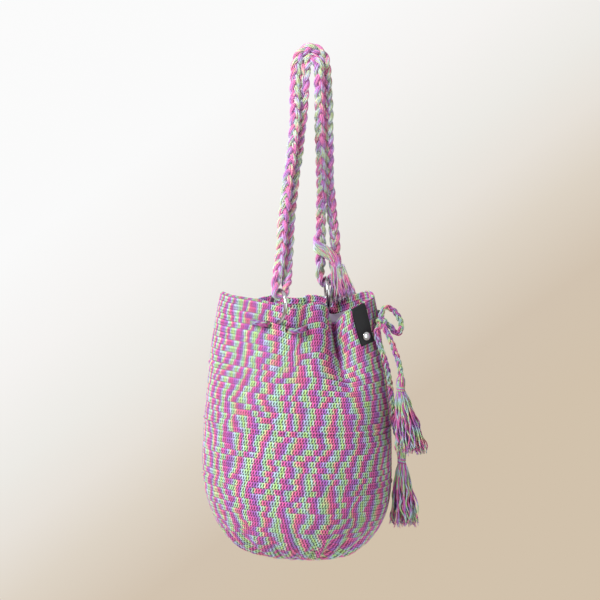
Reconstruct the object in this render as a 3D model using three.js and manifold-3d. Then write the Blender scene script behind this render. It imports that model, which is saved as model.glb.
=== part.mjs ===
// Potli bag: a crocheted drawstring bucket bag that hangs from a plaited strap.
// Millimetres, +Z up, +X to the right of the front, +Y towards the back.
// The origin is the hanging point, under the inner bend of the strap.
import * as THREE from "three";
import { mergeVertices } from "three/addons/utils/BufferGeometryUtils.js";
import ManifoldModule from "manifold-3d";

// Crocheted body
const BAG_CENTRE_X = -18.5;
const RIM_Z = -301;
const BELLY_Z = -516;
const BASE_Z = -636;
const RIM_HALF_WIDTH = 98;
const RIM_HALF_DEPTH = 56;
const BELLY_HALF_WIDTH = 121;
const BELLY_HALF_DEPTH = 92;
const BASE_FULLNESS = 2.5;
const FOLD_LENGTH = 150;
const ROUND_TILT_DEG = 2.5;
const CROCHET_THICKNESS = 4;
const RIDGE_HEIGHT = 1.1;
const RIDGE_PITCH = 30;
const WALL_COLUMNS = 40;
const BASE_DISC = 14;

// Lining, hems and clearances
const LINING_THICKNESS = 1;
const LINING_DROP = 14;
const LINING_GAP = 1.1;
const GAP = 0.3;
const CUT_CLEARANCE = 0.5;
const HOLE_SIDES = 6;

// The gathered rim, from the left corner over the front to the right corner and round the back:
// across and deep as shares of the rim's half width and half depth, then mm above the rim level.
const RIM_OUTLINE = [
  [-1.0, 0.0, 8], [-0.86, -0.43, 6], [-0.56, -0.8, 3.4], [-0.22, -1.0, -2.3], [-0.03, -1.0, -8],
  [0.13, -0.89, -3], [0.29, -0.77, -1], [0.38, -0.6, -8], [0.42, -0.36, -23], [0.46, -0.29, -32],
  [0.51, -0.43, -27], [0.59, -0.6, -17], [0.68, -0.68, -10.5], [0.87, -0.48, -2], [0.99, -0.11, 2],
  [0.94, 0.18, 8], [0.69, 0.46, -1], [0.47, 0.59, -8], [0.33, 0.71, -2], [0.14, 0.77, -1],
  [0.06, 0.72, -4], [-0.1, 0.68, -4], [-0.3, 0.83, -1], [-0.63, 0.68, -6], [-0.88, 0.36, 0],
];
const RIGHT_CORNER = RIM_OUTLINE.findIndex(([x]) => x === Math.max(...RIM_OUTLINE.map(([across]) => across)));

// Steel rings: each passes through the wall below the rim and stands upright
const RING_DIAMETER = 41.6;
const RING_WIRE = 4.8;
const RING_SIDES = 8;
const RING_SEGMENTS = 24;
const LEFT_RING = { at: 0.181, drop: 22, turnDeg: -65, leanDeg: 6 };
const RIGHT_RING = { at: 0.689, drop: 10.5, turnDeg: -86, leanDeg: -4 };

// Plaited strap: one length, run twice over the hanging point
const STRAP_DIAMETER = 12;
const STRAP_SIDES = 8;
const STRAP_KNOT = [30, 36, -256];
const OUTER_RIGHT_RUN = [
  [30, 34.5, -238], [28.8, 31.5, -220], [25.6, 28.6, -192], [21.6, 24, -146], [20.9, 16.4, -95],
  [19.6, 9.8, -42], [17.5, 6.5, -11.6],
];
const OUTER_BEND = [[15.4, 5, 5], [8.2, 3.2, 15.2], [-1.5, 0, 19], [-11.2, -1, 15.2], [-18.4, -2, 5]];
const OUTER_LEFT_RUN = [
  [-21.3, -3, -11.5], [-21.5, -10, -41.5], [-23, -19.5, -88], [-30.2, -29.5, -141.4],
  [-36, -38, -191.3], [-39.6, -46, -236], [-43, -50, -262],
];
const INNER_LEFT_RUN = [
  [-31.6, -42.2, -262], [-30.6, -36.6, -237], [-27.6, -28.6, -192], [-22.1, -19.8, -142],
  [-14.9, -10.4, -88], [-10.6, -3.8, -41.7], [-8.8, -1.5, -11.5],
];
const INNER_BEND = [[-7.6, -1.2, -1.5], [-4.4, -0.8, 4], [0, 0, 6], [4.4, -1.2, 4], [7.6, -2.4, -1.5]];
const INNER_RIGHT_RUN = [
  [8.8, -3.4, -11.4], [9.6, 1.5, -42], [10.2, 9.2, -95], [12, 15.4, -146], [12, 23.4, -192],
  [11.3, 28, -220], [11.3, 29.8, -232], [11.5, 32, -248],
];
const HITCH_DIAMETER = 6.2;
const HITCH_STEPS = 18;
const HITCH_ROUTE = [
  [17.5, 37.5, -225], [10.5, 39.3, -223.5], [3.2, 35.5, -224.5], [0.8, 28.5, -227.5], [4, 21.5, -231],
  [11, 18.8, -234.5], [19.5, 18.5, -239], [27, 19.5, -244.5], [31.5, 21.5, -249],
];
const KNOT_RADIUS = 8;
const KNOT_HEIGHT = 15;
const KNOT_PROFILE = [[0, -0.5], [0.7, -0.5], [1, -0.2], [1, 0.2], [0.7, 0.5], [0, 0.5]];
const FRINGE_ASIDE = 3;
const FRINGE_SWING = 8.5;
const FRINGE_DROP = 42;
const FRINGE_TOP_HALF_WIDTH = 8;
const FRINGE_HALF_SPREAD = 15.5;
const FRINGE_HALF_DEPTH = 5;
const FRINGE_SHARES = [0, 0.15, 0.5, 0.8, 1];
const FRINGE_FAN_POWER = 0.8;
const FRINGE_FLUTE = 0.12;
const FRINGE_RAGGED = 4;
const FRINGE_RISE = 0.3;

// Drawstring: where it runs round the mouth, as a share of the way round, and on which side
// of the wall it lies there (1 outside, -1 inside)
const CORD_DIAMETER = 8;
const CORD_SIDES = 8;
const CORD_DROP = 27;
const CORD_WEAVE = [
  [0.53, 1], [0.512, -1], [0.48, -1], [0.45, -1], [0.42, -1], [0.39, -1], [0.36, -1], [0.33, -1],
  [0.3, -1], [0.275, -1], [0.26, -1], [0.245, 1], [0.231, 1], [0.217, 1], [0.203, -1], [0.172, -1],
  [0.157, 1], [0.143, 1], [0.129, 1], [0.114, -1], [0.08, -1], [0.04, -1], [0.0, -1], [-0.035, 1],
  [-0.07, 1], [-0.1, 1], [-0.12, -1], [-0.16, -1], [-0.19, -1], [-0.21, 1], [-0.235, 1], [-0.26, 1],
  [-0.28, -1], [-0.33, -1], [-0.37, -1], [-0.413, -1], [-0.432, 1], [-0.452, 1],
];
const TIE_KNOT = [88, -25, -328];
const TIE_KNOT_RADIUS = 8.5;
const TIE_KNOT_SEGMENTS = 12;
const TIE_KNOT_BANDS = 8;
const WEAVE_STEPS = 58;
const BOW_STEPS = 16;
const SHORT_TAIL_STEPS = 12;
const LONG_TAIL_STEPS = 20;
const BOW_ROUTE = [
  [88.5, -22.5, -316], [94, -19, -309], [104, -17, -314], [111.5, -17, -324], [113.5, -18, -334],
  [111, -19.5, -342], [105, -21, -341], [100, -22.5, -333],
];
const SHORT_TAIL_ROUTE = [
  [93.5, -33, -337], [98, -37, -346], [103, -41, -358], [108, -45, -372], [111, -47, -384],
];
const LONG_TAIL_ROUTE = [
  [82.5, -30, -337], [82.5, -33, -345], [85.5, -34.5, -355], [91, -35, -370], [97, -34, -394],
  [101.5, -31, -425], [104.5, -26, -457], [110, -21, -477],
];

// Tassels on the two ends
const TASSEL_HEAD_RADIUS = 5.6;
const TASSEL_HEAD_LENGTH = 19;
const TASSEL_HEAD_SEGMENTS = 10;
const TASSEL_HEAD_PROFILE = [[0, -1], [0.92, -1], [0.78, -0.78], [1, -0.62], [1, -0.22], [0.75, 0], [0, 0]];
const TASSEL_FLUTES = 9;
const SKIRT_SHARES = [0, 0.12, 0.4, 0.75, 1];
const SKIRT_NECK = 0.9;
const SKIRT_FAN_POWER = 0.75;
const SKIRT_FLATNESS = 0.8;
const SKIRT_RAGGED = 0.06;
const FLUTE_AT_NECK = 0.03;
const FLUTE_GROWTH = 0.13;
const SHORT_TASSEL = { top: [112, -48, -394], length: 78, spread: 21, lean: [14, 0] };
const LONG_TASSEL = { top: [115, -19, -491], length: 80, spread: 19, lean: [3, 0] };

// Folded tab and its rivet
const LABEL_AT = 0.47;
const LABEL_WIDTH = 20.5;
const LABEL_LENGTH = 49;
const LABEL_LEAN = 0.06;
const LABEL_THICKNESS = 1;
const LABEL_LIFT = 1.8;
const RIVET_DROP = 39;
const RIVET_RADIUS = 5.5;
const RIVET_HEIGHT = 2;
const RIVET_POST = 1.8;
const RIVET_DOME = [[1, 0.4], [0.8, 0.8]];
const TURNED_SEGMENTS = 14;

const LINING_OUT = CROCHET_THICKNESS + LINING_GAP;
const LINING_IN = LINING_OUT + LINING_THICKNESS;

const vec = (x, y, z) => new THREE.Vector3(x, y, z);
const vecs = (list) => list.map((p) => vec(...p));
const UP = vec(0, 0, 1);

// The meridian is the body's side outline from the rim down to the middle of the base.
// meridianAt gives its half width and height at a length in mm along the fabric.
const MERIDIAN_STEPS = 240;
const meridian = [];
for (let i = 0; i <= MERIDIAN_STEPS; i += 1) {
  const share = (2 * i) / MERIDIAN_STEPS;
  if (share <= 1) {
    const z = THREE.MathUtils.lerp(RIM_Z, BELLY_Z, share);
    const narrowing = (BELLY_HALF_WIDTH - RIM_HALF_WIDTH) * (1 - share) ** 2;
    meridian.push({ halfWidth: BELLY_HALF_WIDTH - narrowing, z });
  } else {
    const turn = ((share - 1) * Math.PI) / 2;
    meridian.push({
      halfWidth: BELLY_HALF_WIDTH * Math.max(Math.cos(turn), 0) ** (2 / BASE_FULLNESS),
      z: BELLY_Z - (BELLY_Z - BASE_Z) * Math.sin(turn) ** (2 / BASE_FULLNESS),
    });
  }
}
meridian[0].length = 0;
for (let i = 1; i <= MERIDIAN_STEPS; i += 1) {
  const step = Math.hypot(
    meridian[i].halfWidth - meridian[i - 1].halfWidth,
    meridian[i].z - meridian[i - 1].z,
  );
  meridian[i].length = meridian[i - 1].length + step;
}
const WALL_LENGTH = meridian[MERIDIAN_STEPS].length;

function meridianAt(length) {
  const end = meridian.findIndex((m, i) => i > 0 && m.length >= Math.min(length, WALL_LENGTH));
  const [low, high] = [meridian[end - 1], meridian[end]];
  const share = (length - low.length) / (high.length - low.length);
  return {
    halfWidth: THREE.MathUtils.lerp(low.halfWidth, high.halfWidth, share),
    z: THREE.MathUtils.lerp(low.z, high.z, share),
  };
}

// The rim's own curve, and how far round it the right corner lies
const ARC_DIVISIONS = 600;
const rimCurve = new THREE.CatmullRomCurve3(
  RIM_OUTLINE.map(([x, y, z]) => vec(x * RIM_HALF_WIDTH, y * RIM_HALF_DEPTH, z)),
  true,
  "catmullrom",
);
rimCurve.arcLengthDivisions = ARC_DIVISIONS;
const rimLengths = rimCurve.getLengths();
const cornerShare = RIGHT_CORNER / RIM_OUTLINE.length;
const RIM_LENGTH = rimLengths[ARC_DIVISIONS];
const RIGHT_AT = rimLengths[Math.round(cornerShare * ARC_DIVISIONS)] / RIM_LENGTH;

// A point of the outer wall: around is a share of the way round, down is mm of fabric below the rim.
// The gathered rim fades into the round belly over FOLD_LENGTH.
function wallPoint(around, down) {
  const u = THREE.MathUtils.euclideanModulo(around, 1);
  const { halfWidth, z } = meridianAt(down);
  const gathered = 1 - THREE.MathUtils.smootherstep(down, 0, FOLD_LENGTH);
  const angle = u < RIGHT_AT
    ? (Math.PI * u) / RIGHT_AT
    : Math.PI * (1 + (u - RIGHT_AT) / (1 - RIGHT_AT));
  const bellyX = -halfWidth * Math.cos(angle);
  const bellyY = -halfWidth * (BELLY_HALF_DEPTH / BELLY_HALF_WIDTH) * Math.sin(angle);
  const rim = rimCurve.getPointAt(u);
  const widening = halfWidth / RIM_HALF_WIDTH;
  const x = THREE.MathUtils.lerp(bellyX, rim.x * widening, gathered);
  const y = THREE.MathUtils.lerp(bellyY, rim.y * widening, gathered);
  const tilt = (1 - gathered) * Math.tan(THREE.MathUtils.degToRad(ROUND_TILT_DEG)) * x;
  return vec(BAG_CENTRE_X + x, y, z + gathered * rim.z - tilt);
}

const ASIDE_STEP = 0.002;
const BELOW_STEP = WALL_LENGTH / 1000;

function wallNormal(around, down) {
  const aside = wallPoint(around + ASIDE_STEP, down).sub(wallPoint(around - ASIDE_STEP, down));
  const below = wallPoint(around, down + BELOW_STEP).sub(wallPoint(around, Math.max(down - BELOW_STEP, 0)));
  return below.cross(aside).normalize();
}

function offWall(around, down, out) {
  return wallPoint(around, down).addScaledVector(wallNormal(around, down), out);
}

// A closed solid through rings of points. Each end is a single point, or a flat cap on its ring.
// A ring may carry down, so that neighbouring shells split their quads along the same diagonal.
function loft(rings, startPoint, endPoint) {
  const count = rings[0].length;
  const points = [startPoint, ...rings.flat(), endPoint];
  const at = (i, k) => 1 + i * count + (k % count);
  const faces = [];
  for (let k = 0; k < count; k += 1) {
    faces.push(0, at(0, k + 1), at(0, k));
    faces.push(points.length - 1, at(rings.length - 1, k), at(rings.length - 1, k + 1));
  }
  for (let i = 0; i + 1 < rings.length; i += 1) {
    const falling = rings[i].down < rings[i + 1].down;
    for (let k = 0; k < count; k += 1) {
      const [a, b, c, d] = [at(i, k), at(i, k + 1), at(i + 1, k + 1), at(i + 1, k)];
      if (falling) faces.push(a, b, d, b, c, d);
      else faces.push(a, b, c, a, c, d);
    }
  }
  return solidGeometry(points, faces);
}

// Points and triangles as a geometry, with its faces turned outwards
function solidGeometry(points, faces) {
  let volume = 0;
  for (let i = 0; i < faces.length; i += 3) {
    const [a, b, c] = [points[faces[i]], points[faces[i + 1]], points[faces[i + 2]]];
    volume += a.dot(b.clone().cross(c));
  }
  const geometry = new THREE.BufferGeometry();
  geometry.setAttribute("position", new THREE.Float32BufferAttribute(points.flatMap((p) => [...p]), 3));
  geometry.setIndex(volume < 0 ? [...faces].reverse() : faces);
  geometry.computeVertexNormals();
  return geometry;
}

function middle(ring) {
  return ring.reduce((sum, p) => sum.add(p), vec(0, 0, 0)).divideScalar(ring.length);
}

// A round tube through path points, with flat ends
function sweep(path, radius, sides) {
  const tangents = path.map((_, i) =>
    path[Math.min(i + 1, path.length - 1)].clone().sub(path[Math.max(i - 1, 0)]).normalize());
  let side = vec(1, 0, 0).cross(tangents[0]).normalize();
  const rings = path.map((p, i) => {
    side = side.clone().addScaledVector(tangents[i], -side.dot(tangents[i])).normalize();
    const other = tangents[i].clone().cross(side);
    return Array.from({ length: sides }, (_, k) => {
      const angle = (2 * Math.PI * k) / sides;
      return p.clone()
        .addScaledVector(side, radius * Math.cos(angle))
        .addScaledVector(other, radius * Math.sin(angle));
    });
  });
  return loft(rings, path[0], path[path.length - 1]);
}

// A cord is a round section extruded along a smooth curve
function cord(points, diameter, steps, sides) {
  const section = new THREE.Shape();
  for (let k = 0; k < sides; k += 1) {
    const angle = (2 * Math.PI * k) / sides;
    const [x, y] = [(diameter / 2) * Math.cos(angle), (diameter / 2) * Math.sin(angle)];
    if (k === 0) section.moveTo(x, y);
    else section.lineTo(x, y);
  }
  section.closePath();
  const extrudePath = new THREE.CatmullRomCurve3(points, false, "centripetal");
  return new THREE.ExtrudeGeometry(section, { steps, extrudePath });
}

const wasm = await ManifoldModule();
wasm.setup();

function toManifold(geometry) {
  const bare = geometry.clone();
  bare.deleteAttribute("normal");
  bare.deleteAttribute("uv");
  const merged = mergeVertices(bare, 1e-4);
  return new wasm.Manifold(new wasm.Mesh({
    numProp: 3,
    vertProperties: new Float32Array(merged.attributes.position.array),
    triVerts: new Uint32Array(merged.index.array),
  }));
}

function cut(geometry, tools) {
  let solid = toManifold(geometry);
  for (const tool of tools) solid = solid.subtract(toManifold(tool));
  const mesh = solid.getMesh();
  const result = new THREE.BufferGeometry();
  result.setAttribute("position", new THREE.Float32BufferAttribute(mesh.vertProperties, 3));
  result.setIndex([...mesh.triVerts]);
  result.computeVertexNormals();
  return result;
}

const bag = new THREE.Group();

function add(name, geometry, color, roughness, metalness = 0, parent = bag) {
  const mesh = new THREE.Mesh(geometry, new THREE.MeshStandardMaterial({ color, roughness, metalness }));
  mesh.name = name;
  parent.add(mesh);
  return mesh;
}

const YARN = "#b878a6";
const LINING_CLOTH = "#a795ab";
const STEEL = "#c9c9cb";
const BLACK_TAB = "#17171a";

// A hole for a round piece is cut with few flats, each clear of the piece
const holeSize = (diameter) => (diameter + 2 * CUT_CLEARANCE) / Math.cos(Math.PI / HOLE_SIDES);

// Rings: a torus stood on the point where its wire crosses the wall, leaning along its own axis
function ringPlace({ at, drop, turnDeg, leanDeg }) {
  const hole = offWall(at, drop, -LINING_IN / 2);
  const [turn, lean] = [turnDeg, leanDeg].map(THREE.MathUtils.degToRad);
  const along = vec(Math.cos(turn), Math.sin(turn), 0);
  const level = vec(-Math.sin(turn), Math.cos(turn), 0);
  const up = UP.clone().multiplyScalar(Math.cos(lean)).addScaledVector(level, Math.sin(lean));
  const axis = along.clone().cross(up).negate();
  const stand = new THREE.Group();
  stand.position.copy(hole).addScaledVector(up, RING_DIAMETER / 2);
  stand.quaternion.setFromRotationMatrix(new THREE.Matrix4().makeBasis(along, up, axis.clone().negate()));
  return { stand, up, axis, top: hole.clone().addScaledVector(up, RING_DIAMETER) };
}

function ringGeometry(wire, sides) {
  return new THREE.TorusGeometry(RING_DIAMETER / 2, wire / 2, sides, RING_SEGMENTS);
}

function ringTool({ stand }) {
  return ringGeometry(holeSize(RING_WIRE), HOLE_SIDES)
    .applyQuaternion(stand.quaternion)
    .translate(...stand.position);
}

const leftRing = ringPlace(LEFT_RING);
const rightRing = ringPlace(RIGHT_RING);

function addRing(name, { stand }) {
  bag.add(stand);
  add(name, ringGeometry(RING_WIRE, RING_SIDES), STEEL, 0.2, 1, stand);
}

addRing("ring_left", leftRing);
addRing("ring_right", rightRing);

// Drawstring: round the mouth, out through the right side and into the tie
const LABEL_FRONT = RIDGE_HEIGHT + LABEL_LIFT;
const LABEL_BACK = -(LINING_IN + LABEL_LIFT);
const CORD_OUT = RIDGE_HEIGHT + GAP + CORD_DIAMETER / 2;
const CORD_IN = LABEL_THICKNESS - LABEL_BACK + 2 * CUT_CLEARANCE + CORD_DIAMETER / 2;
const tie = vec(...TIE_KNOT);
const tieFace = (towards) =>
  tie.clone().addScaledVector(vec(...towards).sub(tie).normalize(), TIE_KNOT_RADIUS + GAP);
const weave = CORD_WEAVE.map(([around, side]) =>
  offWall(around, CORD_DROP, side > 0 ? CORD_OUT : -CORD_IN));
const weaveRoute = [tieFace([...weave[0]]), ...weave, tieFace([...weave[weave.length - 1]])];
add("drawstring", cord(weaveRoute, CORD_DIAMETER, WEAVE_STEPS, CORD_SIDES), YARN, 0.9);
const tieKnot = new THREE.SphereGeometry(TIE_KNOT_RADIUS, TIE_KNOT_SEGMENTS, TIE_KNOT_BANDS);
add("drawstring_knot", tieKnot.translate(...tie), YARN, 0.9);

const bowRoute = [tieFace(BOW_ROUTE[0]), ...vecs(BOW_ROUTE), tieFace(BOW_ROUTE[BOW_ROUTE.length - 1])];
add("drawstring_bow", cord(bowRoute, CORD_DIAMETER, BOW_STEPS, CORD_SIDES), YARN, 0.9);

// Tassels: a wrapped head on the end of the tail, and a fluted skirt of loose yarns
function addTassel(name, { top, length, spread, lean }) {
  const outline = TASSEL_HEAD_PROFILE.map(([x, y]) =>
    new THREE.Vector2(x * TASSEL_HEAD_RADIUS, y * TASSEL_HEAD_LENGTH));
  const head = new THREE.LatheGeometry(outline, TASSEL_HEAD_SEGMENTS);
  const place = new THREE.Group();
  place.position.set(...top);
  bag.add(place);
  add(`${name}_head`, head, YARN, 0.9, 0, place).rotation.x = Math.PI / 2;

  const rings = SKIRT_SHARES.map((share) => {
    const radius = THREE.MathUtils.lerp(TASSEL_HEAD_RADIUS * SKIRT_NECK, spread, share ** SKIRT_FAN_POWER);
    const flute = FLUTE_AT_NECK + FLUTE_GROWTH * share;
    return Array.from({ length: 2 * TASSEL_FLUTES }, (_, k) => {
      const angle = (Math.PI * k) / TASSEL_FLUTES;
      const out = radius * (k % 2 ? 1 - flute : 1 + flute);
      const ragged = share === 1 && k % 2 ? 1 - SKIRT_RAGGED : 1;
      return vec(
        lean[0] * share + out * Math.cos(angle),
        lean[1] * share + out * SKIRT_FLATNESS * Math.sin(angle),
        -(TASSEL_HEAD_LENGTH + GAP) - length * share * ragged,
      );
    });
  });
  const skirt = loft(rings, middle(rings[0]), middle(rings[rings.length - 1]));
  add(`${name}_skirt`, skirt, YARN, 0.95, 0, place);
}

function addTail(name, route, tassel, steps) {
  const end = vec(...tassel.top).addScaledVector(UP, GAP);
  const points = [tieFace(route[0]), ...vecs(route), end.clone().addScaledVector(UP, CORD_DIAMETER / 2), end];
  add(name, cord(points, CORD_DIAMETER, steps, CORD_SIDES), YARN, 0.9);
}

addTail("drawstring_tail_short", SHORT_TAIL_ROUTE, SHORT_TASSEL, SHORT_TAIL_STEPS);
addTail("drawstring_tail_long", LONG_TAIL_ROUTE, LONG_TASSEL, LONG_TAIL_STEPS);
addTassel("tassel_short", SHORT_TASSEL);
addTassel("tassel_long", LONG_TASSEL);

// Folded tab: one strip down the front, over the rim and down the inside
const labelAt = (across, down) => LABEL_AT + (across + LABEL_LEAN * down) / RIM_LENGTH;
const LABEL_COLUMNS = 2;
const LABEL_ROWS = 7;

function labelSheet(thickness) {
  return Array.from({ length: LABEL_COLUMNS + 1 }, (_, i) => {
    const across = LABEL_WIDTH * (i / LABEL_COLUMNS - 0.5);
    const leaf = (out) => Array.from({ length: LABEL_ROWS + 1 }, (_, j) => {
      const down = (LABEL_LENGTH * j) / LABEL_ROWS;
      return offWall(labelAt(across, down), down, out);
    });
    const lift = GAP + thickness;
    const front = leaf(LABEL_FRONT + thickness).map((p, j) => (j ? p : p.addScaledVector(UP, lift)));
    const back = leaf(LABEL_BACK - thickness).map((p, j) => (j ? p : p.addScaledVector(UP, lift)));
    return [...front.reverse(), ...back];
  });
}

// Two matching grids of points as the faces of one sheet
function thickSheet(outer, inner) {
  const [rows, columns] = [outer.length, outer[0].length];
  const points = [...outer.flat(), ...inner.flat()];
  const at = (face, i, j) => face * rows * columns + i * columns + j;
  const faces = [];
  const quad = (a, b, c, d) => faces.push(a, b, c, a, c, d);
  for (let i = 0; i + 1 < rows; i += 1) {
    for (let j = 0; j + 1 < columns; j += 1) {
      quad(at(0, i, j), at(0, i + 1, j), at(0, i + 1, j + 1), at(0, i, j + 1));
      quad(at(1, i, j), at(1, i, j + 1), at(1, i + 1, j + 1), at(1, i + 1, j));
    }
    quad(at(0, i, 0), at(1, i, 0), at(1, i + 1, 0), at(0, i + 1, 0));
    quad(at(0, i, columns - 1), at(0, i + 1, columns - 1), at(1, i + 1, columns - 1), at(1, i, columns - 1));
  }
  for (let j = 0; j + 1 < columns; j += 1) {
    quad(at(0, 0, j), at(0, 0, j + 1), at(1, 0, j + 1), at(1, 0, j));
    quad(at(0, rows - 1, j), at(1, rows - 1, j), at(1, rows - 1, j + 1), at(0, rows - 1, j + 1));
  }
  return solidGeometry(points, faces);
}

// Rivet: a domed cap whose post runs through the tab, wall and lining to a flat cap inside
const RIVET_AT = labelAt(0, RIVET_DROP);
const rivetNormal = wallNormal(RIVET_AT, RIVET_DROP);
const rivetSeat = offWall(RIVET_AT, RIVET_DROP, LABEL_FRONT + LABEL_THICKNESS + 2 * GAP);
const rivetTurn = new THREE.Quaternion().setFromUnitVectors(vec(0, 1, 0), rivetNormal);
const POST_LENGTH = LABEL_FRONT - LABEL_BACK + 2 * LABEL_THICKNESS + 4 * GAP;
const capProfile = [
  [0, -POST_LENGTH], [RIVET_POST, -POST_LENGTH], [RIVET_POST, 0], [RIVET_RADIUS, 0],
  ...RIVET_DOME.map(([x, y]) => [x * RIVET_RADIUS, y * RIVET_HEIGHT]), [0, RIVET_HEIGHT],
];
const backProfile = [
  [0, -RIVET_HEIGHT / 2], [RIVET_RADIUS, -RIVET_HEIGHT / 2], [RIVET_RADIUS, 0], [0, 0],
];
const lathe = (profile) =>
  new THREE.LatheGeometry(profile.map(([x, y]) => new THREE.Vector2(x, y)), TURNED_SEGMENTS);
const rivet = new THREE.Group();
rivet.position.copy(rivetSeat);
rivet.quaternion.copy(rivetTurn);
bag.add(rivet);
add("rivet_cap", lathe(capProfile), STEEL, 0.25, 1, rivet);
add("rivet_back", lathe(backProfile), STEEL, 0.25, 1, rivet).position.y = -POST_LENGTH - GAP;
const postHole = holeSize(2 * RIVET_POST) / 2;
const postTool = new THREE.CylinderGeometry(postHole, postHole, 2 * POST_LENGTH, HOLE_SIDES)
  .applyQuaternion(rivetTurn)
  .translate(...rivetSeat);

add("label", cut(thickSheet(labelSheet(LABEL_THICKNESS), labelSheet(0)), [postTool]), BLACK_TAB, 0.6);

// Crochet shell with raised rounds outside, and the lining inside it. Rings, drawstring and
// rivet post pass through both in holes of their own size plus a clearance.
function wallRing(down, out) {
  const ring = Array.from({ length: WALL_COLUMNS }, (_, k) => offWall(k / WALL_COLUMNS, down, out));
  ring.down = down;
  return ring;
}

const wallEnd = WALL_LENGTH - BASE_DISC;
const ridges = Math.round(wallEnd / RIDGE_PITCH);
const outerRings = Array.from({ length: 2 * ridges + 1 }, (_, i) =>
  wallRing((wallEnd * i) / (2 * ridges), i % 2 ? RIDGE_HEIGHT : 0));
const innerShares = [0.09, 0.16, 0.25, 0.39, 0.56, 0.69, 0.8, 0.9];
const innerDowns = [0, LINING_DROP, ...innerShares.map((share) => share * wallEnd)];
const baseCentre = (inset) => vec(BAG_CENTRE_X, 0, BASE_Z + inset);
const crochetShell = loft(
  [...outerRings.reverse(), ...innerDowns.map((down) => wallRing(down, -CROCHET_THICKNESS))],
  baseCentre(0),
  baseCentre(CROCHET_THICKNESS),
);
const liningDowns = innerDowns.slice(1);
const liningShell = loft(
  [
    ...[...liningDowns].reverse().map((down) => wallRing(down, -LINING_OUT)),
    ...liningDowns.map((down) => wallRing(down, -LINING_IN)),
  ],
  baseCentre(LINING_OUT),
  baseCentre(LINING_IN),
);
const holeTools = [
  cord(weaveRoute, holeSize(CORD_DIAMETER), WEAVE_STEPS, HOLE_SIDES),
  ringTool(leftRing),
  ringTool(rightRing),
  postTool,
];
add("crochet_body", cut(crochetShell, holeTools), YARN, 0.92);
add("lining", cut(liningShell, holeTools), LINING_CLOTH, 0.85);

// Strap: the two runs over the hanging point, with a turn through each ring
const TURN_ANGLES = [0, 30, 60, 90, 120, 150, 180].map(THREE.MathUtils.degToRad);

function ringTurn({ top, axis, up }) {
  const radius = RING_WIRE / 2 + 2 * CUT_CLEARANCE + STRAP_DIAMETER / 2;
  return TURN_ANGLES.map((angle) => top.clone()
    .addScaledVector(axis, -radius * Math.cos(angle))
    .addScaledVector(up, -radius * Math.sin(angle)));
}

const knotCentre = vec(...STRAP_KNOT);
const knotEnd = (height) => knotCentre.clone().addScaledVector(UP, height);
const strapEnd = KNOT_HEIGHT / 2 + GAP;
const strapRoute = [
  knotEnd(strapEnd),
  knotEnd(strapEnd + STRAP_DIAMETER / 2),
  ...vecs([...OUTER_RIGHT_RUN, ...OUTER_BEND, ...OUTER_LEFT_RUN]),
  ...ringTurn(leftRing),
  ...vecs([...INNER_LEFT_RUN, ...INNER_BEND, ...INNER_RIGHT_RUN]),
  ...ringTurn(rightRing),
  knotEnd(-strapEnd - STRAP_DIAMETER / 3),
  knotEnd(-strapEnd),
];
add("strap_braid", sweep(strapRoute, STRAP_DIAMETER / 2, STRAP_SIDES), YARN, 0.9);

const knot = lathe(KNOT_PROFILE.map(([x, y]) => [x * KNOT_RADIUS, y * KNOT_HEIGHT]));
const knotMesh = add("strap_knot", knot, YARN, 0.9);
knotMesh.position.copy(knotCentre);
knotMesh.rotation.x = Math.PI / 2;

// Hitch: the strap's end goes round the inner run and comes down in front of the knot as a fringe.
// The fringe's back lies against the knot.
const fringeTop = knotCentre.clone().add(vec(FRINGE_ASIDE, -(KNOT_RADIUS + FRINGE_HALF_DEPTH), 0));
const hitchEnd = (height) => fringeTop.clone().addScaledVector(UP, height);
const hitchRoute = [...vecs(HITCH_ROUTE), hitchEnd(HITCH_DIAMETER / 2), hitchEnd(GAP)];
add("strap_hitch", cord(hitchRoute, HITCH_DIAMETER, HITCH_STEPS, STRAP_SIDES), YARN, 0.9);

const fringeFall = vec(FRINGE_SWING, 0, -FRINGE_DROP);
const fringeRings = FRINGE_SHARES.map((share) => {
  const centre = fringeTop.clone().addScaledVector(fringeFall, share);
  const fan = share ** FRINGE_FAN_POWER;
  const halfWidth = THREE.MathUtils.lerp(FRINGE_TOP_HALF_WIDTH, FRINGE_HALF_SPREAD, fan);
  return Array.from({ length: 2 * TASSEL_FLUTES }, (_, k) => {
    const angle = (Math.PI * k) / TASSEL_FLUTES;
    const flute = k % 2 ? 1 - FRINGE_FLUTE : 1;
    const across = halfWidth * flute * Math.cos(angle);
    const ragged = share === 1 && k % 2 ? FRINGE_RAGGED : 0;
    return centre.clone().add(vec(
      across,
      FRINGE_HALF_DEPTH * flute * Math.sin(angle),
      FRINGE_RISE * share * across + ragged,
    ));
  });
});
const fringe = loft(fringeRings, middle(fringeRings[0]), middle(fringeRings[fringeRings.length - 1]));
add("strap_fringe", fringe, YARN, 0.95);

export default bag;
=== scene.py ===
# Potli bag: crocheted body on its lining, plaited strap and drawstring, tassels, rings and tab.
import math

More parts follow.
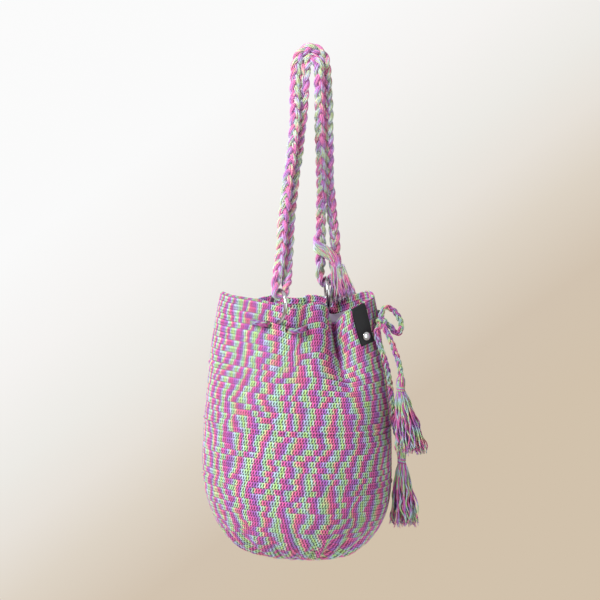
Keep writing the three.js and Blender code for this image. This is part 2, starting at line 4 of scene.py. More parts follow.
import bpy
import numpy as np
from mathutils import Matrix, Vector


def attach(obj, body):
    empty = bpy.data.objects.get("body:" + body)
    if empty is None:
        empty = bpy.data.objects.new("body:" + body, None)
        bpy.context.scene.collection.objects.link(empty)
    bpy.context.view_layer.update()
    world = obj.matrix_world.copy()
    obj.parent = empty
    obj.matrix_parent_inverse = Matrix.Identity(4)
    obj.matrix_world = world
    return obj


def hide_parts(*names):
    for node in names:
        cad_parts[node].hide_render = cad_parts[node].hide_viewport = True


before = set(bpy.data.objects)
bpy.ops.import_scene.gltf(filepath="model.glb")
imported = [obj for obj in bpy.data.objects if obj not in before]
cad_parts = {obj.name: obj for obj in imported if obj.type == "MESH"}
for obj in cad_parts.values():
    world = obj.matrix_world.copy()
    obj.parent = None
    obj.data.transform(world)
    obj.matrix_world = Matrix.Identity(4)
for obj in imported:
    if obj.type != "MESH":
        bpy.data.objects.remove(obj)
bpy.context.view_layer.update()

# Lengths below are millimetres, in the frame's own axes. Meshes are written in metres.
MM = 0.001
TURN = 2 * math.pi
UP, BACK = np.array([0, 0, 1.0]), np.array([0, 1.0, 0])
BAG_BODY = "bag"
chance = np.random.default_rng(11)

# Camera: 3 m in front of the bag and a little above it
CAMERA_TARGET = Vector((-0.01536, 0.0, -0.302))
CAMERA_DISTANCE = 3.0
CAMERA_ELEVATION = math.radians(6.5)
CAMERA_LENS = 140.6

camera = bpy.data.objects.new("photo_camera", bpy.data.cameras.new("photo_camera"))
camera.data.sensor_width = 36
camera.data.lens = CAMERA_LENS
camera.data.clip_end = 20
camera.location = CAMERA_TARGET + CAMERA_DISTANCE * Vector(
    (0, -math.cos(CAMERA_ELEVATION), math.sin(CAMERA_ELEVATION)))
camera.rotation_euler = (CAMERA_TARGET - camera.location).to_track_quat("-Z", "Y").to_euler()
bpy.context.scene.collection.objects.link(camera)
bpy.context.scene.camera = camera
bpy.context.scene.view_settings.view_transform = "Standard"


# Materials


def linear(hex_colour):
    """An sRGB hex colour as linear RGBA."""
    parts = [int(hex_colour[i:i + 2], 16) / 255 for i in (1, 3, 5)]
    return (*[p / 12.92 if p <= 0.04045 else ((p + 0.055) / 1.055) ** 2.4 for p in parts], 1.0)


def fill(made, inputs):
    """Sets a node's sockets, each to a value, an output, or a node, whose first output is meant."""
    for socket, value in inputs.items():
        if isinstance(value, bpy.types.Node):
            value = value.outputs[0]
        if isinstance(value, bpy.types.NodeSocket):
            made.id_data.links.new(value, made.inputs[socket])
        else:
            made.inputs[socket].default_value = value


def node(tree, kind, inputs=None, stops=(), **settings):
    """One shader node, with its settings, its sockets and the stops of its colour ramp."""
    made = tree.nodes.new("ShaderNode" + kind)
    for name, value in settings.items():
        setattr(made, name, value)
    fill(made, inputs or {})
    for k, (share, colour) in enumerate(stops):
        points = made.color_ramp.elements
        point = points[k] if k < 2 else points.new(share)
        point.position = share
        point.color = linear(colour)
    return made


def reckon(tree, operation, *inputs, **settings):
    """One Math node, its sockets in order."""
    return node(tree, "Math", dict(enumerate(inputs)), operation=operation, **settings)


def remap(tree, value, source, target=(0.0, 1.0), ease="LINEAR"):
    """One Map Range node, from one span to another."""
    return node(tree, "MapRange", dict(enumerate((value, *source, *target))), interpolation_type=ease)


def new_material(name, **values):
    """A material of one Principled shader, with the values that are the same all over it."""
    material = bpy.data.materials.new(name)
    material.use_nodes = True
    tree = material.node_tree
    tree.nodes.clear()
    surface = node(tree, "BsdfPrincipled", {key.replace("_", " "): value for key, value in values.items()})
    node(tree, "OutputMaterial", {"Surface": surface})
    return material, tree, surface


# The yarn's dye runs, in the order they follow each other along it: colour, and stitches that it lasts
DYE_RUNS = [
    ("#e268b0", 1.8), ("#b26cc6", 1.3), ("#c0cff0", 0.45), ("#aad9a6", 1.1), ("#e4dea8", 0.45),
    ("#f08ea0", 0.35), ("#e66aa4", 1.2), ("#be6ac2", 1.05), ("#c0caec", 0.45), ("#b0dac8", 0.95),
    ("#bee08e", 1.05), ("#aed6dc", 0.45), ("#ecd2ae", 0.4),
]
DYE_CYCLE_STITCHES = sum(stitches for _, stitches in DYE_RUNS)
STITCH_WIDTH = 3.7
ROUND_HEIGHT = 7.5
YARN_A_STITCH = 8.0
DYE_CYCLE_LENGTH = DYE_CYCLE_STITCHES * YARN_A_STITCH
POST_MIDDLE = 0.55
DOT_ASIDE = 0.5
# Stitches that a post leans to the right over the height of its round
POST_LEAN = 2 / 3
LOOP_REACH = 0.13
STITCH_UV = "stitches"
YARN_UV = "yarn"
CLOTH_UV = "cloth"


def dye_stops():
    """The dye runs as stops of a ramp that joins up with itself. Long runs are even in the middle."""
    stops = [(0.0, DYE_RUNS[0][0]), (1.0, DYE_RUNS[0][0])]
    start = 0.0
    for colour, stitches in DYE_RUNS:
        for share in ((0.3, 0.7) if stitches > 1 else (0.5,)):
            stops.append(((start + share * stitches) / DYE_CYCLE_STITCHES, colour))
        start += stitches
    return stops


def crocheted_cotton():
    # Space-dyed cotton yarn, crocheted tightly by hand in rounds of tall stitches: matt with a soft bloom,
    # painted shade in the slits between the posts, in the dots between the loops and along the joins of the
    # rounds, a painted highlight on the middles of the posts, and dye runs of about two stitches that sit
    # over each other like uneven bricks.
    material, tree, surface = new_material(
        "crocheted_space_dyed_cotton", Roughness=0.88, IOR=1.47, Sheen_Weight=0.1, Sheen_Roughness=0.5)
    place = node(tree, "UVMap", uv_map=STITCH_UV)
    along, up, _ = node(tree, "SeparateXYZ", {0: place}).outputs
    # Loops of one round reach up into the next, so a round's edge is scalloped
    beside = reckon(tree, "ADD", along, DOT_ASIDE)
    scallop = reckon(tree, "COSINE", reckon(tree, "MULTIPLY", beside, TURN))
    round_ = reckon(tree, "FLOOR", reckon(tree, "MULTIPLY_ADD", scallop, LOOP_REACH, up))
    stitch = reckon(tree, "ROUND", along)

    # Where a stitch lies on the dyed yarn. Columns stand upright, but each round meets its dye runs a
    # little further on or back than the one above, by an amount that changes slowly along the round.
    drift = node(tree, "TexNoise", {"W": round_, "Scale": 0.31, "Detail": 1.0}, noise_dimensions="1D")
    row_place = node(tree, "CombineXYZ", {0: along, 1: round_})
    row_place = node(tree, "VectorMath", {0: row_place, 1: (0.06, 3.7, 0.0)}, operation="MULTIPLY")
    jump = node(tree, "TexNoise", {"Vector": row_place, "Scale": 1.0, "Detail": 1.0}, noise_dimensions="2D")
    waver = node(tree, "TexNoise", {"Vector": place, "Scale": 0.19, "Detail": 1.0}, noise_dimensions="2D")
    cell = node(tree, "CombineXYZ", {0: stitch, 1: round_})
    stray = node(tree, "TexWhiteNoise", {"Vector": cell}, noise_dimensions="2D")
    dyed = reckon(tree, "MULTIPLY_ADD", up, -0.65 * POST_LEAN, along)
    for shift, stitches in (
            (round_, -0.35 * POST_LEAN), (drift, 8.0), (jump, 8.5), (waver, 3.5), (stray, 0.6)):
        dyed = reckon(tree, "MULTIPLY_ADD", shift, stitches, dyed)
    phase = reckon(tree, "FRACT", reckon(tree, "DIVIDE", dyed, DYE_CYCLE_STITCHES))
    dye = node(tree, "ValToRGB", {0: phase}, dye_stops())

    # Slits between the posts, and dots between the loops of one round and the next, in mm
    slit_mm = reckon(tree, "MULTIPLY", reckon(tree, "PINGPONG", along, 0.5), STITCH_WIDTH)
    from_post = reckon(tree, "SUBTRACT", reckon(tree, "FRACT", up), POST_MIDDLE)
    post_mm = reckon(tree, "MULTIPLY", from_post, ROUND_HEIGHT * 0.42)
    dot_mm = reckon(tree, "MULTIPLY", reckon(tree, "PINGPONG", beside, 0.5), STITCH_WIDTH)
    line_mm = reckon(tree, "MULTIPLY", reckon(tree, "PINGPONG", up, 0.5), ROUND_HEIGHT)
    slit_at, dot_at = (
        node(tree, "CombineXYZ", {0: x, 1: y}) for x, y in ((slit_mm, post_mm), (dot_mm, line_mm)))
    slit_away, dot_away = (
        node(tree, "VectorMath", {0: at}, operation="LENGTH").outputs["Value"] for at in (slit_at, dot_at))
    nearest = reckon(tree, "MINIMUM", slit_away, reckon(tree, "MULTIPLY", dot_away, 0.77))
    # Painted shade: the colour falls nearly to black in the slits and dots, and a painted highlight lifts it
    # above the dye on the middles of the posts
    gap = remap(tree, nearest, (0.42, 1.35), (0.02, 1.12), "SMOOTHSTEP")
    # Painted shade along the joins between one round and the next
    line = remap(tree, line_mm, (0.0, 0.8), (0.97, 1.0), "SMOOTHSTEP")
    # Every stitch catches the light a little differently
    light = remap(tree, stray, (0.0, 1.0), (0.86, 1.16))
    shade = reckon(tree, "MULTIPLY", reckon(tree, "MULTIPLY", gap, line), light)
    colour = node(tree, "VectorMath", {0: dye, "Scale": shade}, operation="SCALE")

    # Plies of the yarn, 1.1 mm apart, winding up each post
    slant = reckon(tree, "MULTIPLY_ADD", up, 2.2, along)
    plies = reckon(tree, "SINE", reckon(tree, "MULTIPLY", slant, TURN * STITCH_WIDTH / 1.1))
    bump = node(tree, "Bump", {"Strength": 0.6, "Distance": 0.15 * MM, "Height": plies})
    fill(surface, {"Base Color": colour, "Normal": bump})
    return material


def plied_cotton_yarn(name, pale_tone_and_painted_light, depth):
    # The same space-dyed cotton as loose yarn: two plies twisted together, matt and faintly fuzzy, with
    # dye runs that change along it, and painted shade in the grooves between the plies. The strap's is mixed
    # paler than the cord's, partly for its pinker tone and partly as painted light; depth scales the whole
    # yarn's brightness, as painted light above 1 and painted shade below 1.
    material, tree, surface = new_material(
        name, Roughness=0.88, IOR=1.47, Sheen_Weight=0.25, Sheen_Roughness=0.5)
    place = node(tree, "UVMap", uv_map=YARN_UV)
    around, along, _ = node(tree, "SeparateXYZ", {0: place}).outputs
    phase = reckon(tree, "FRACT", reckon(tree, "DIVIDE", along, DYE_CYCLE_LENGTH))
    dye = node(tree, "ValToRGB", {0: phase}, dye_stops())
    # Two plies, 3 mm to the turn
    lay = reckon(tree, "MULTIPLY_ADD", along, 1 / 3.0, around)
    ply = reckon(tree, "SINE", reckon(tree, "MULTIPLY", lay, 4 * math.pi))
    # Painted shade in the grooves between the plies, the whole scaled by depth: painted light on the strap,
    # painted shade on the cord
    painted_ply_shade_and_light = remap(tree, ply, (-1.0, 1.0), (0.84 * depth, depth))
    # The pale mix is partly the strap yarn's pinker tone and partly painted light
    pale = node(tree, "Mix", {"Factor": pale_tone_and_painted_light, "A": dye, "B": linear("#f6c6ea")}, data_type="RGBA")
    colour = node(tree, "VectorMath", {0: pale.outputs["Result"], "Scale": painted_ply_shade_and_light}, operation="SCALE")
    bump = node(tree, "Bump", {"Strength": 0.7, "Distance": 0.25 * MM, "Height": ply})
    fill(surface, {"Base Color": colour, "Normal": bump})
    return material


def lavender_lining_cloth():
    # Plain-woven poly-cotton lining, dyed lavender grey: a fine even weave, a slight lustre on the creases.
    material, tree, surface = new_material(
        "woven_lavender_lining", Roughness=0.72, IOR=1.5, Sheen_Weight=0.2, Sheen_Roughness=0.4)
    place = node(tree, "UVMap", uv_map=CLOTH_UV)
    # Threads 0.9 mm apart, about twice the real spacing, so that the weave shows
    warp, weft = (
        node(tree, "TexWave", {"Vector": place, "Scale": 1 / 0.9 / 3.18}, bands_direction=way).outputs[1]
        for way in "XY")
    weave = reckon(tree, "MAXIMUM", warp, weft)
    slub = node(tree, "TexNoise", {"Vector": place, "Scale": 0.08, "Detail": 3.0}, noise_dimensions="2D")
    dye = node(tree, "ValToRGB", {0: slub}, [(0.3, "#94869c"), (0.7, "#aa9db2")])
    bump = node(tree, "Bump", {"Strength": 0.5, "Distance": 0.12 * MM, "Height": weave})
    fill(surface, {"Base Color": dye, "Normal": bump})
    return material


def bright_plated_steel():
    # Nickel-chrome plate on bent steel wire: near mirror, with faint rubbed patches from the strap.
    material, tree, surface = new_material("bright_plated_steel", Metallic=1.0, Base_Color=linear("#c4c5c6"))
    place = node(tree, "TexCoord").outputs["Object"]
    # Rubbed patches about 4 mm across
    rub = node(tree, "TexNoise", {"Vector": place, "Scale": 250.0, "Detail": 4.0})
    fill(surface, {"Roughness": remap(tree, rub, (0.35, 0.7), (0.1, 0.26))})
    return material


def black_coated_tab():
    # Polyurethane-coated cloth, embossed with a fine leather grain: dark, low gloss, a little cloudy.
    material, tree, surface = new_material("black_coated_leathercloth", IOR=1.45, Specular_IOR_Level=0.35)
    place = node(tree, "UVMap", uv_map=CLOTH_UV)
    # Grain cells 0.8 mm across
    grain = node(tree, "TexVoronoi", {"Vector": place, "Scale": 1 / 0.8},
                 voronoi_dimensions="2D", feature="SMOOTH_F1")
    cloud = node(tree, "TexNoise", {"Vector": place, "Scale": 0.15, "Detail": 3.0}, noise_dimensions="2D")
    dye = node(tree, "ValToRGB", {0: cloud}, [(0.3, "#0b0c0f"), (0.75, "#16171b")])
    bump = node(tree, "Bump", {"Strength": 0.35, "Distance": 0.08 * MM, "Height": grain})
    rough = remap(tree, cloud, (0.0, 1.0), (0.42, 0.62))
    fill(surface, {"Base Color": dye, "Roughness": rough, "Normal": bump})
    return material


STEEL_SLOT, CROCHET_SLOT, STRAP_SLOT, CORD_SLOT = "ring_steel", "crochet", "strap_yarn", "cord_yarn"
LINING_SLOT, TAB_SLOT = "lining_cloth", "tab"
# Each slot's UV map and material
SLOTS = {
    CROCHET_SLOT: (STITCH_UV, crocheted_cotton()),
    # Strap yarn: paled partly for its tone and partly as painted light, and brightened by 1.3 as painted
    # light
    STRAP_SLOT: (YARN_UV, plied_cotton_yarn("plaited_cotton_yarn", 0.22, 1.3)),
    # Cord yarn: darkened to 0.86 as painted shade
    CORD_SLOT: (YARN_UV, plied_cotton_yarn("twisted_cotton_yarn", 0.0, 0.86)),
    LINING_SLOT: (CLOTH_UV, lavender_lining_cloth()),
    STEEL_SLOT: (CLOTH_UV, bright_plated_steel()),
    TAB_SLOT: (CLOTH_UV, black_coated_tab()),
}


# The bag's wall, as the frame's solids have it


BAG_CENTRE_X = -18.5
RIM_Z, BELLY_Z, BASE_Z = -301.0, -516.0, -636.0
RIM_HALF_WIDTH, RIM_HALF_DEPTH = 98.0, 56.0
BELLY_HALF_WIDTH, BELLY_HALF_DEPTH = 121.0, 92.0
BASE_FULLNESS = 2.5
FOLD_LENGTH = 150.0
ROUND_TILT = math.tan(math.radians(2.5))
# Points round the rim from the left corner: shares of the half width and half depth, and mm of height
RIM_OUTLINE = [
    (-1.0, 0.0, 8), (-0.86, -0.43, 6), (-0.56, -0.8, 3.4), (-0.22, -1.0, -2.3), (-0.03, -1.0, -8),
    (0.13, -0.89, -3), (0.29, -0.77, -1), (0.38, -0.6, -8), (0.42, -0.36, -23), (0.46, -0.29, -32),
    (0.51, -0.43, -27), (0.59, -0.6, -17), (0.68, -0.68, -10.5), (0.87, -0.48, -2), (0.99, -0.11, 2),
    (0.94, 0.18, 8), (0.69, 0.46, -1), (0.47, 0.59, -8), (0.33, 0.71, -2), (0.14, 0.77, -1),
    (0.06, 0.72, -4), (-0.1, 0.68, -4), (-0.3, 0.83, -1), (-0.63, 0.68, -6), (-0.88, 0.36, 0),
]
RIGHT_CORNER = 14


def unit(vectors):
    return vectors / np.linalg.norm(vectors, axis=-1, keepdims=True)


def lengths(path):
    """The length of the way along a path, at each of its points."""
    steps = np.linalg.norm(np.diff(path, axis=0), axis=1)
    return np.concatenate([[0.0], np.cumsum(steps)])


def cubic(b, c, m, n, w):
    """A smooth stretch from b to c with the slopes m and n, at the shares w of the way."""
    return b + m * w + (3 * (c - b) - 2 * m - n) * w ** 2 + (2 * (b - c) + m + n) * w ** 3


def rim_table():
    """Points round the rim, their share of the way round, the right corner's share, and the rim's length."""
    corners = np.array(RIM_OUTLINE) * (RIM_HALF_WIDTH, RIM_HALF_DEPTH, 1.0)
    steps = 60
    w = (np.arange(steps) / steps)[:, None]
    path = []
    for k in range(len(corners)):
        a, b, c, d = (corners[(k + j) % len(corners)] for j in (-1, 0, 1, 2))
        path.append(cubic(b, c, (c - a) / 2, (d - b) / 2, w))
    path = np.vstack([*path, corners[:1]])
    run = lengths(path)
    return path, run / run[-1], run[RIGHT_CORNER * steps] / run[-1], run[-1]


def meridian_table():
    """The side outline from rim to base: its length in mm of fabric, half width and height."""
    share = np.linspace(0, 2, 241)
    turn = np.clip(share - 1, 0, 1) * math.pi / 2
    upper = share <= 1
    half = np.where(upper, BELLY_HALF_WIDTH - (BELLY_HALF_WIDTH - RIM_HALF_WIDTH) * (1 - share) ** 2,
                    BELLY_HALF_WIDTH * np.clip(np.cos(turn), 0, 1) ** (2 / BASE_FULLNESS))
    z = np.where(upper, RIM_Z + (BELLY_Z - RIM_Z) * share,
                 BELLY_Z - (BELLY_Z - BASE_Z) * np.sin(turn) ** (2 / BASE_FULLNESS))
    return lengths(np.column_stack([half, z])), half, z


RIM_PATH, RIM_SHARE, RIGHT_AT, RIM_LENGTH = rim_table()
MERIDIAN_RUN, MERIDIAN_HALF, MERIDIAN_Z = meridian_table()
WALL_LENGTH = MERIDIAN_RUN[-1]


def gather(down):
    """How far the wall follows the gathered rim, from 1 at the rim to 0 where the folds have run out."""
    t = np.clip(down / FOLD_LENGTH, 0, 1)
    return 1 - t ** 3 * (t * (6 * t - 15) + 10)


def half_turns(share):
    """A share of the way round as half turns: 0 at the left corner, 1 at the right, 2 back at the left."""
    return np.where(share < RIGHT_AT, share / RIGHT_AT, 1 + (share - RIGHT_AT) / (1 - RIGHT_AT))


def wall(around, down):
    """Points of the wall: around is a share of the way round, down is mm of fabric below the rim."""
    u = np.mod(around, 1.0)
    half = np.interp(down, MERIDIAN_RUN, MERIDIAN_HALF)
    z = np.interp(down, MERIDIAN_RUN, MERIDIAN_Z)
    gathered = gather(down)
    angle = math.pi * half_turns(u)
    rim = [np.interp(u, RIM_SHARE, RIM_PATH[:, k]) for k in range(3)]
    belly_x = -half * np.cos(angle)
    belly_y = -half * BELLY_HALF_DEPTH / BELLY_HALF_WIDTH * np.sin(angle)
    x = belly_x + (rim[0] * half / RIM_HALF_WIDTH - belly_x) * gathered
    y = belly_y + (rim[1] * half / RIM_HALF_WIDTH - belly_y) * gathered
    return np.stack([BAG_CENTRE_X + x, y, z + gathered * rim[2] - (1 - gathered) * ROUND_TILT * x], axis=-1)


def wall_normal(around, down):
    aside = wall(around + 0.002, down) - wall(around - 0.002, down)
    below = wall(around, down + 0.5) - wall(around, np.maximum(down - 0.5, 0))
    return unit(np.cross(below, aside))


# Where the drawstring goes through the wall it draws the fabric into a short upright crease
CORD_DROP = 27.0
CORD_CROSSINGS = [0.521, 0.2525, 0.21, 0.1645, 0.1215, -0.0175, -0.11, -0.2, -0.27, -0.4225]
CREASE_DEPTH, CREASE_WIDTH, CREASE_HEIGHT = 2.0, 5.5, 26.0
# The base is drawn in, so the fabric round it puckers between pinched creases
PUCKER_DROP, PUCKER_SPREAD, PUCKER_HEIGHT, PUCKER_END = 340.0, 36.0, 4.4, 388.0
PINCH_DEPTH, PINCH_WIDTH = 2.4, 0.3
SOFT_FROM, SOFT_TO, SOFT_FADE = 40.0, 330.0, 60.0


def slack(around, down):
    """How far the fabric stands off the plain wall: creases at the drawstring, a soft unevenness, puckers."""
    creases = 0.0
    for crossing in CORD_CROSSINGS:
        aside = (np.mod(around - crossing + 0.5, 1.0) - 0.5) * RIM_LENGTH
        creases = creases + CREASE_DEPTH * np.exp(
            -(aside / CREASE_WIDTH) ** 2 - ((down - CORD_DROP) / CREASE_HEIGHT) ** 2)
    turn = TURN * around
    soft = np.sin(3 * turn + down / 61) * np.sin(down / 47 + 1.3) + 0.6 * np.sin(7 * turn - down / 38 + 0.7)
    soft = soft * np.clip((down - SOFT_FROM) / SOFT_FADE, 0, 1) * np.clip((SOFT_TO - down) / SOFT_FADE, 0, 1)
    pinch = np.sin(10 * turn + 1.2 * np.sin(3 * turn))
    pucker = np.exp(-((down - PUCKER_DROP) / PUCKER_SPREAD) ** 2) * (
        PUCKER_HEIGHT * pinch ** 2 - PINCH_DEPTH * np.exp(-(pinch / PINCH_WIDTH) ** 2))
    return soft - creases + pucker * np.clip((PUCKER_END - down) / 45, 0, 1)


def fabric(around, down, out):
    """Points of the slack fabric, some way out from the wall."""
    return wall(around, down) + wall_normal(around, down) * (out + slack(around, down))[..., None]


# Meshes


def grid(rows, columns, flip=False):
    """The row and the column of the four corners of each cell of a grid. A flip turns every cell over."""
    steps = np.array([[0, 0, 1, 1], [0, 1, 1, 0]])
    row, column = np.indices((rows, columns)).reshape(2, -1, 1)
    row_step, column_step = steps[::-1] if flip else steps
    return row + row_step, column + column_step


def make_piece(name, points, faces, uvs, slot, replaces=None, body=BAG_BODY):
    """A mesh piece in place of a node's solid: points in mm, faces, and one UV pair for each face corner."""
    uv_name, material = SLOTS[slot]
    mesh = bpy.data.meshes.new(name)
    mesh.from_pydata((np.asarray(points) * MM).tolist(), [], faces)
    layer = mesh.uv_layers.new(name=uv_name)
    layer.uv.foreach_set("vector", np.asarray(uvs, dtype=np.float32).ravel())
    mesh.shade_smooth()
    mesh.materials.append(material)
    piece = bpy.data.objects.new(name, mesh)
    bpy.context.scene.collection.objects.link(piece)
    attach(piece, body)
    if replaces:
        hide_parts(replaces)
    return piece


def smooth_route(points, step):
    """A smooth curve through the points, in even steps."""
    p = np.array(points, dtype=float)
    p = np.vstack([2 * p[0] - p[1], p, 2 * p[-1] - p[-2]])
    w = np.linspace(0, 1, 24, endpoint=False)[:, None]
    dense = []
    for a, b, c, d in zip(p, p[1:], p[2:], p[3:]):
        s, t, u = (math.sqrt(np.linalg.norm(far - near)) for near, far in ((a, b), (b, c), (c, d)))
        m = ((b - a) / s - (c - a) / (s + t) + (c - b) / t) * t
        n = ((c - b) / t - (d - b) / (t + u) + (d - c) / u) * t
        dense.append(cubic(b, c, m, n, w))
    dense = np.vstack([*dense, p[-2:-1]])
    run = lengths(dense)
    even = np.linspace(0, run[-1], max(2, round(run[-1] / step)) + 1)
    return np.column_stack([np.interp(even, run, dense[:, k]) for k in range(3)])


def across_path(path, side):
    """At each point of a path: the way across it nearest to the given side, and the way square to both."""
    tangent = unit(np.gradient(path, axis=0))
    side = np.broadcast_to(side, path.shape)
    across = unit(side - (side * tangent).sum(1, keepdims=True) * tangent)
    return across, np.cross(tangent, across)


class Skein:
    """The yarns of one piece. A yarn is a closed round tube; its UV is the share round it and mm along it."""

    def __init__(self):
        self.points, self.faces, self.uvs, self.count = [], [], [], 0

    def lay(self, path, radius, side, sides=5, dye_start=None):
        """One yarn along a path, from a place on the dyed yarn that is given or left to chance."""
        across, other = across_path(path, side)
        radius = np.broadcast_to(radius, (len(path),))[:, None, None]
        angle = (TURN * np.arange(sides) / sides)[None, :, None]
        ring = path[:, None] + radius * (np.cos(angle) * across[:, None] + np.sin(angle) * other[:, None])
        if dye_start is None:
            dye_start = chance.uniform(0, DYE_CYCLE_LENGTH)
        run = lengths(path) + dye_start
        row, column = grid(len(path) - 1, sides)
        self.faces += (self.count + row * sides + column % sides).tolist()
        self.uvs.append(np.stack([column / sides, run[row]], axis=-1).reshape(-1, 2))
        last = self.count + (len(path) - 1) * sides
        self.faces.append(list(range(self.count + sides - 1, self.count - 1, -1)))
        self.faces.append(list(range(last, last + sides)))
        for end in (run[0], run[-1]):
            self.uvs.append(np.column_stack([np.arange(sides) / sides, np.full(sides, end)]))
        self.points.append(ring.reshape(-1, 3))
        self.count += len(path) * sides

    def strand(self, middle, side, yarns, yarn_radius, lay_length, sides=4):
        """A loose twist of yarns round one line. Their dye runs nearly keep step."""
        dye_start = chance.uniform(0, DYE_CYCLE_LENGTH)
        run = lengths(middle)
        side, other = across_path(middle, side)
        lie = yarn_radius / math.sin(math.pi / yarns)
        for yarn in range(yarns):
            wobble = 0.15 * np.sin(run / 9 + 5 * chance.uniform())
            twist = TURN * (yarn / yarns + run / lay_length) + wobble
            out = lie * chance.uniform(0.9, 1.08)
            path = middle + out * (np.cos(twist)[:, None] * side + np.sin(twist)[:, None] * other)
            self.lay(path, yarn_radius, side, sides, dye_start + chance.normal(0, 5.0))

    def plait(self, route, across, width, yarns, yarn_radius, crossing):
        """Three strands that cross over each other, each strand a twist of yarns."""
        run = lengths(route)
        wide, deep = across_path(route, across)
        reach = yarn_radius / math.sin(math.pi / yarns) + yarn_radius
        swing = width / 2 - reach
        for strand in range(3):
            turn = TURN * (run / crossing + strand / 3)
            uneven = 1 + 0.08 * np.sin(run / 31 + 2 * strand)
            middle = (route + (swing * uneven * np.sin(turn))[:, None] * wide
                      + (0.7 * reach * np.sin(2 * turn))[:, None] * deep)
            self.strand(middle, wide, yarns, yarn_radius, 2.2 * crossing)

    def loose_yarn(self, path, radius):
        """A yarn with a cut end: its plies spread apart over the last few millimetres."""
        side = (1.0, 0.3, 0.1)
        self.lay(path, radius, side)
        end = unit(path[-1] - path[-2])
        t = np.linspace(0, 1, 5)[:, None]
        for _ in range(3):
            spread = unit(chance.normal(0, 1, 3))
            tip = path[-1] - 0.6 * end + (4.5 * t) * end + (chance.uniform(0.8, 2.6) * t ** 1.5) * spread
            self.lay(tip, np.linspace(0.55, 0.38, 5) * radius, side, 4)

    def piece(self, name, slot, replaces):
        return make_piece(name, np.vstack(self.points), self.faces, np.vstack(self.uvs), slot, replaces)


# Rings


RING_RADIUS, WIRE_RADIUS = 20.8, 2.4
RING_SIDES = 20
# The butt weld: its place and length as shares of the way round, and its height
WELD_AT, WELD_LENGTH, WELD_HEIGHT = 0.09, 0.006, 0.12
# Each ring's centre and axis, as in the frame
RINGS = {
    "ring_left": ((-42.42, -54.12, -303.92), (-0.90134, -0.42030, 0.10453)),
    "ring_right": ((19.59, 34.16, -297.26), (-0.99513, -0.06959, -0.06976)),
}


def ring_circle(name, count=128):
    """Points round the middle of the ring's wire, from its lowest point, and the ring's axis."""
    centre, axis = (np.array(v) for v in RINGS[name])
    axis = unit(axis)
    up = unit(UP - axis[2] * axis)
    level = np.cross(axis, up)
    angle = (TURN * np.arange(count) / count)[:, None]
    return centre + RING_RADIUS * (-np.cos(angle) * up + np.sin(angle) * level), axis


def bend_ring(name):
    """A ring of bent wire: an even round section, with a thin butt weld beside the lowest point."""
    circle, axis = ring_circle(name)
    count, sides = len(circle), RING_SIDES
    out = unit(circle - circle.mean(0))
    weld = np.exp(-((np.arange(count) / count - WELD_AT) / WELD_LENGTH) ** 2)
    radius = (WIRE_RADIUS + WELD_HEIGHT * weld)[:, None, None]
    angle = (TURN * np.arange(sides) / sides)[None, :, None]
    points = circle[:, None] + radius * (np.cos(angle) * out[:, None] + np.sin(angle) * axis)
    row, column = grid(count, sides)
    faces = row % count * sides + column % sides
    uvs = np.stack([column, row], axis=-1) / sides
    make_piece(f"{name}_bent_wire", points.reshape(-1, 3), faces.tolist(), uvs, STEEL_SLOT, name, body=name)


for ring_name in RINGS:
    bend_ring(ring_name)


# Strap


STRAP_HALF_DEPTH = 5.2
STRAP_STEP = 2.3
STRAP_PLAIT = {"width": 14.2, "yarns": 10, "yarn_radius": 0.75, "crossing": 43.0}
STRAP_KNOT = np.array([30.0, 36.0, -256.0])
OUTER_RUN = [
    (30, 34.5, -238), (28.8, 31.5, -220), (25.6, 28.6, -192), (21.6, 24, -146), (20.9, 16.4, -95),
    (19.6, 9.8, -42), (17.5, 6.5, -11.6), (15.4, 5, 5), (8.2, 3.2, 15.2), (-1.5, 0, 19), (-11.2, -1, 15.2),
    (-18.4, -2, 5), (-21.3, -3, -11.5), (-21.5, -10, -41.5), (-23, -19.5, -88), (-30.2, -29.5, -141.4),
    (-36, -38, -191.3), (-39.6, -46, -236), (-43, -50, -262),
]
INNER_RUN = [
    (-31.6, -42.2, -262), (-30.6, -36.6, -237), (-27.6, -28.6, -192), (-22.1, -19.8, -142),
    (-14.9, -10.4, -88), (-10.6, -3.8, -41.7), (-8.8, -1.5, -11.5), (-7.6, -1.2, -1.5), (-4.4, -0.8, 4),
    (0, 0, 6), (4.4, -1.2, 4), (7.6, -2.4, -1.5), (8.8, -3.4, -11.4), (9.6, 1.5, -42), (10.2, 9.2, -95),
    (12, 15.4, -146), (12, 23.4, -192), (11.3, 28, -220), (11.3, 29.8, -232), (11.5, 32, -248),
]
# The strap's unplaited end: three strands that go round the inner run and come down on the right
HITCH_WRAPS = [
    [(16, 40, -226), (11, 39.5, -222.5), (5.6, 34, -224), (4.6, 27, -228), (9, 21.5, -232),
     (17.5, 19.5, -236), (26, 19, -243), (33, 19.5, -252), (36, 20, -262)],
    [(16, 40, -231), (11, 39.5, -228), (5.8, 35, -229.5), (5, 28, -233.5), (9.5, 21.8, -237.5),
     (18, 20, -241.5), (26, 19.5, -248), (31, 20, -256), (33, 20, -263)],
    [(16, 40, -237), (11, 39.5, -234), (5.6, 35, -235), (5, 28, -239), (10, 22, -243),
     (18, 20.5, -247), (25, 20, -253), (29.5, 20.5, -262)],
]
KNOT_TURNS, KNOT_LENGTH, KNOT_RADIUS, KNOT_BULGE = 8, 15.0, 6.4, 1.0
KNOT_CORES, CORE_RING, CORE_RADIUS = 9, 4.6, 1.7
FRINGE_YARNS, FRINGE_LENGTH, FRINGE_HALF_WIDTH = 58, 45, 7.5
FRINGE_TOP = (33, 21, -257.5)


def ring_turn(name):
    """The strap's turn through the top of a ring."""
    circle, axis = ring_circle(name)
    top, up = circle[len(circle) // 2], unit(circle[len(circle) // 2] - circle[0])
    radius = WIRE_RADIUS + STRAP_HALF_DEPTH
    angle = np.radians(np.arange(0, 181, 30))[:, None]
    return top + axis * radius * np.cos(angle) - up * radius * np.sin(angle)


